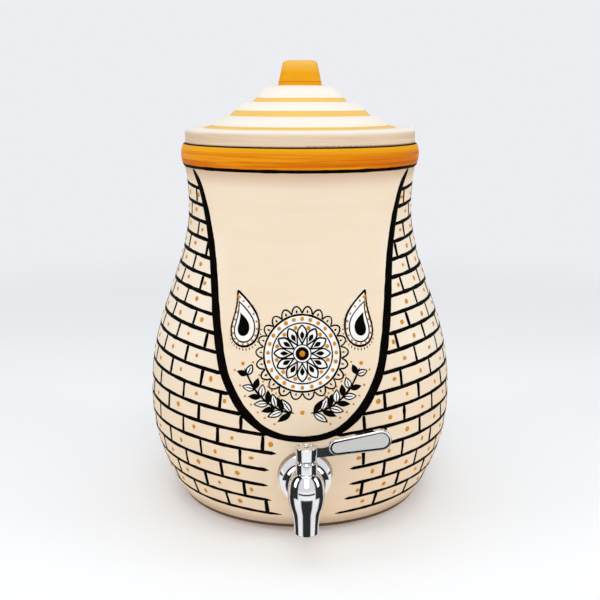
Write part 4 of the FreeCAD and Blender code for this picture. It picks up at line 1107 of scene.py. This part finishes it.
# ---------------------------------------------------------------------------------------------
# Lever plate: a thin satin steel label let into the paddle, left plain. A thin black band just inside
# its edge is painted shade, standing for the dark gap round the plate.
# ---------------------------------------------------------------------------------------------
TAP_LEAN = math.radians(3.0)
TAP_ORIGIN = Vector((0, -143.466, 55.808))
PADDLE_CLIMB = math.radians(9.2)
PADDLE_START = (21.5, 31.0)
PADDLE_END = (52.3, 35.99)
PADDLE_RADII = (5.7, 7.3)
PLATE_FACE = 2.5
PLATE_INSET = 1.3
PLATE_GAP_SHADE = (0.0, 0.75)
PLATE_GAP_SHADE_HEIGHT = 0.06
SATIN = (0.66, 0.66, 0.63, 1)
SATIN_DULL = (0.52, 0.52, 0.50, 1)
METAL_RELIEF = 0.01 * MM


def worked_metal(name, crest_highlight, dull, grain_turn, grain_scale, roughness, detail=4.0, breakup=0.6, metal=1.0):
    """Bare metal with the fine marks of its working drawn out one way."""
    material, tree = new_material(name)
    grain = node(tree, "ShaderNodeMapping", Vector=object_coordinates(tree), Rotation=grain_turn,
                 Scale=grain_scale).outputs[0]
    marks = noise(tree, grain, 1.0, detail, breakup)
    end_material(tree, mixed_colour(tree, marks, crest_highlight, dull), spread(tree, marks, 0.3, 0.7, *roughness),
                 marks, METAL_RELIEF, metal=metal)
    return material


def in_tap(across, out, up):
    """A point of the tap's own frame, in millimetres, where the tap leans on the pot."""
    turned = Vector((across, -out * math.cos(TAP_LEAN) + up * math.sin(TAP_LEAN),
                     up * math.cos(TAP_LEAN) + out * math.sin(TAP_LEAN)))
    return (turned + TAP_ORIGIN) * MM


def paddle_edge(inset, count=20):
    """The paddle's outline an inset inside its edge: two round ends joined by straight sides."""
    (x0, z0), (x1, z1) = PADDLE_START, PADDLE_END
    small, large = (radius - inset for radius in PADDLE_RADII)
    climb = math.atan2(z1 - z0, x1 - x0)
    lean = math.acos((small - large) / math.hypot(x1 - x0, z1 - z0))
    points = []
    for (x, z), radius, first, last in (
        ((x1, z1), large, climb - lean, climb + lean),
        ((x0, z0), small, climb + lean, climb + math.tau - lean),
    ):
        for k in range(count + 1):
            turn = first + (last - first) * k / count
            points.append((x + radius * math.cos(turn), z + radius * math.sin(turn)))
    return points


plate_finish = worked_metal("satin_steel_plate", SATIN, SATIN_DULL, grain_turn=(0, PADDLE_CLIMB, 0),
                            grain_scale=(60.0, 60.0, 2400.0), roughness=(0.34, 0.46), metal=0.3)
dress(plate_finish, "lever_plate")

# Painted shade of the gap round the plate: a thin black band just inside its edge.
corners = []
for out in (PLATE_FACE - PLATE_GAP_SHADE_HEIGHT, PLATE_FACE + PLATE_GAP_SHADE_HEIGHT):
    for inset in PLATE_GAP_SHADE:
        corners += [in_tap(x, out, z) for x, z in paddle_edge(PLATE_INSET + inset)]
around_plate = len(corners) // 4
sides = []
for first, second in ((0, 1), (1, 3), (3, 2), (2, 0)):
    for k in range(around_plate):
        after = (k + 1) % around_plate
        sides.append([ring * around_plate + spot
                      for ring, spot in ((first, k), (second, k), (second, after), (first, after))])
gap_shade_mesh = bpy.data.meshes.new("plate_line")
gap_shade_mesh.from_pydata(corners, [], sides)
gap_shade_mesh.materials.append(black_paint)
plate_line = add_object("plate_line", gap_shade_mesh)
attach(plate_line, "valve")


# ---------------------------------------------------------------------------------------------
# Clamping stack and valve: black rubber washers and rings, a steel washer and lock nut on the shank
# inside the pot, and a turned brass plug that the lever turns in the barrel.
# ---------------------------------------------------------------------------------------------
RUBBER = (0.022, 0.022, 0.022, 1)
RUBBER_DUST = (0.06, 0.058, 0.055, 1)
RUBBER_ROUGHNESS = (0.62, 0.78)
RUBBER_RELIEF = 0.02 * MM
RUBBER_GLOSS = 0.4
STEEL = (0.56, 0.56, 0.57, 1)
STEEL_DULL = (0.44, 0.44, 0.45, 1)
BRASS = (0.78, 0.55, 0.22, 1)
BRASS_DULL = (0.62, 0.41, 0.14, 1)

rubber_finish, tree = new_material("black_rubber")
dust = noise(tree, object_coordinates(tree), 140.0)
end_material(tree, mixed_colour(tree, spread(tree, dust, 0.5, 0.75), RUBBER, RUBBER_DUST),
             spread(tree, dust, 0.3, 0.7, *RUBBER_ROUGHNESS), dust, RUBBER_RELIEF, RUBBER_GLOSS)
dress(rubber_finish, "outer_washer", "inner_washer", "plug_o_ring_lower", "plug_o_ring_upper", "port_seal")

steel_finish = worked_metal("plain_steel", STEEL, STEEL_DULL, grain_turn=(0, 0, 0),
                            grain_scale=(500.0, 60.0, 500.0), roughness=(0.26, 0.42))
dress(steel_finish, "backing_washer", "lock_nut")

brass_finish = worked_metal("turned_brass", BRASS, BRASS_DULL, grain_turn=(TAP_LEAN, 0, 0),
                            grain_scale=(40.0, 40.0, 1800.0), roughness=(0.20, 0.34), detail=3.0, breakup=0.5)
dress(brass_finish, "valve_plug")
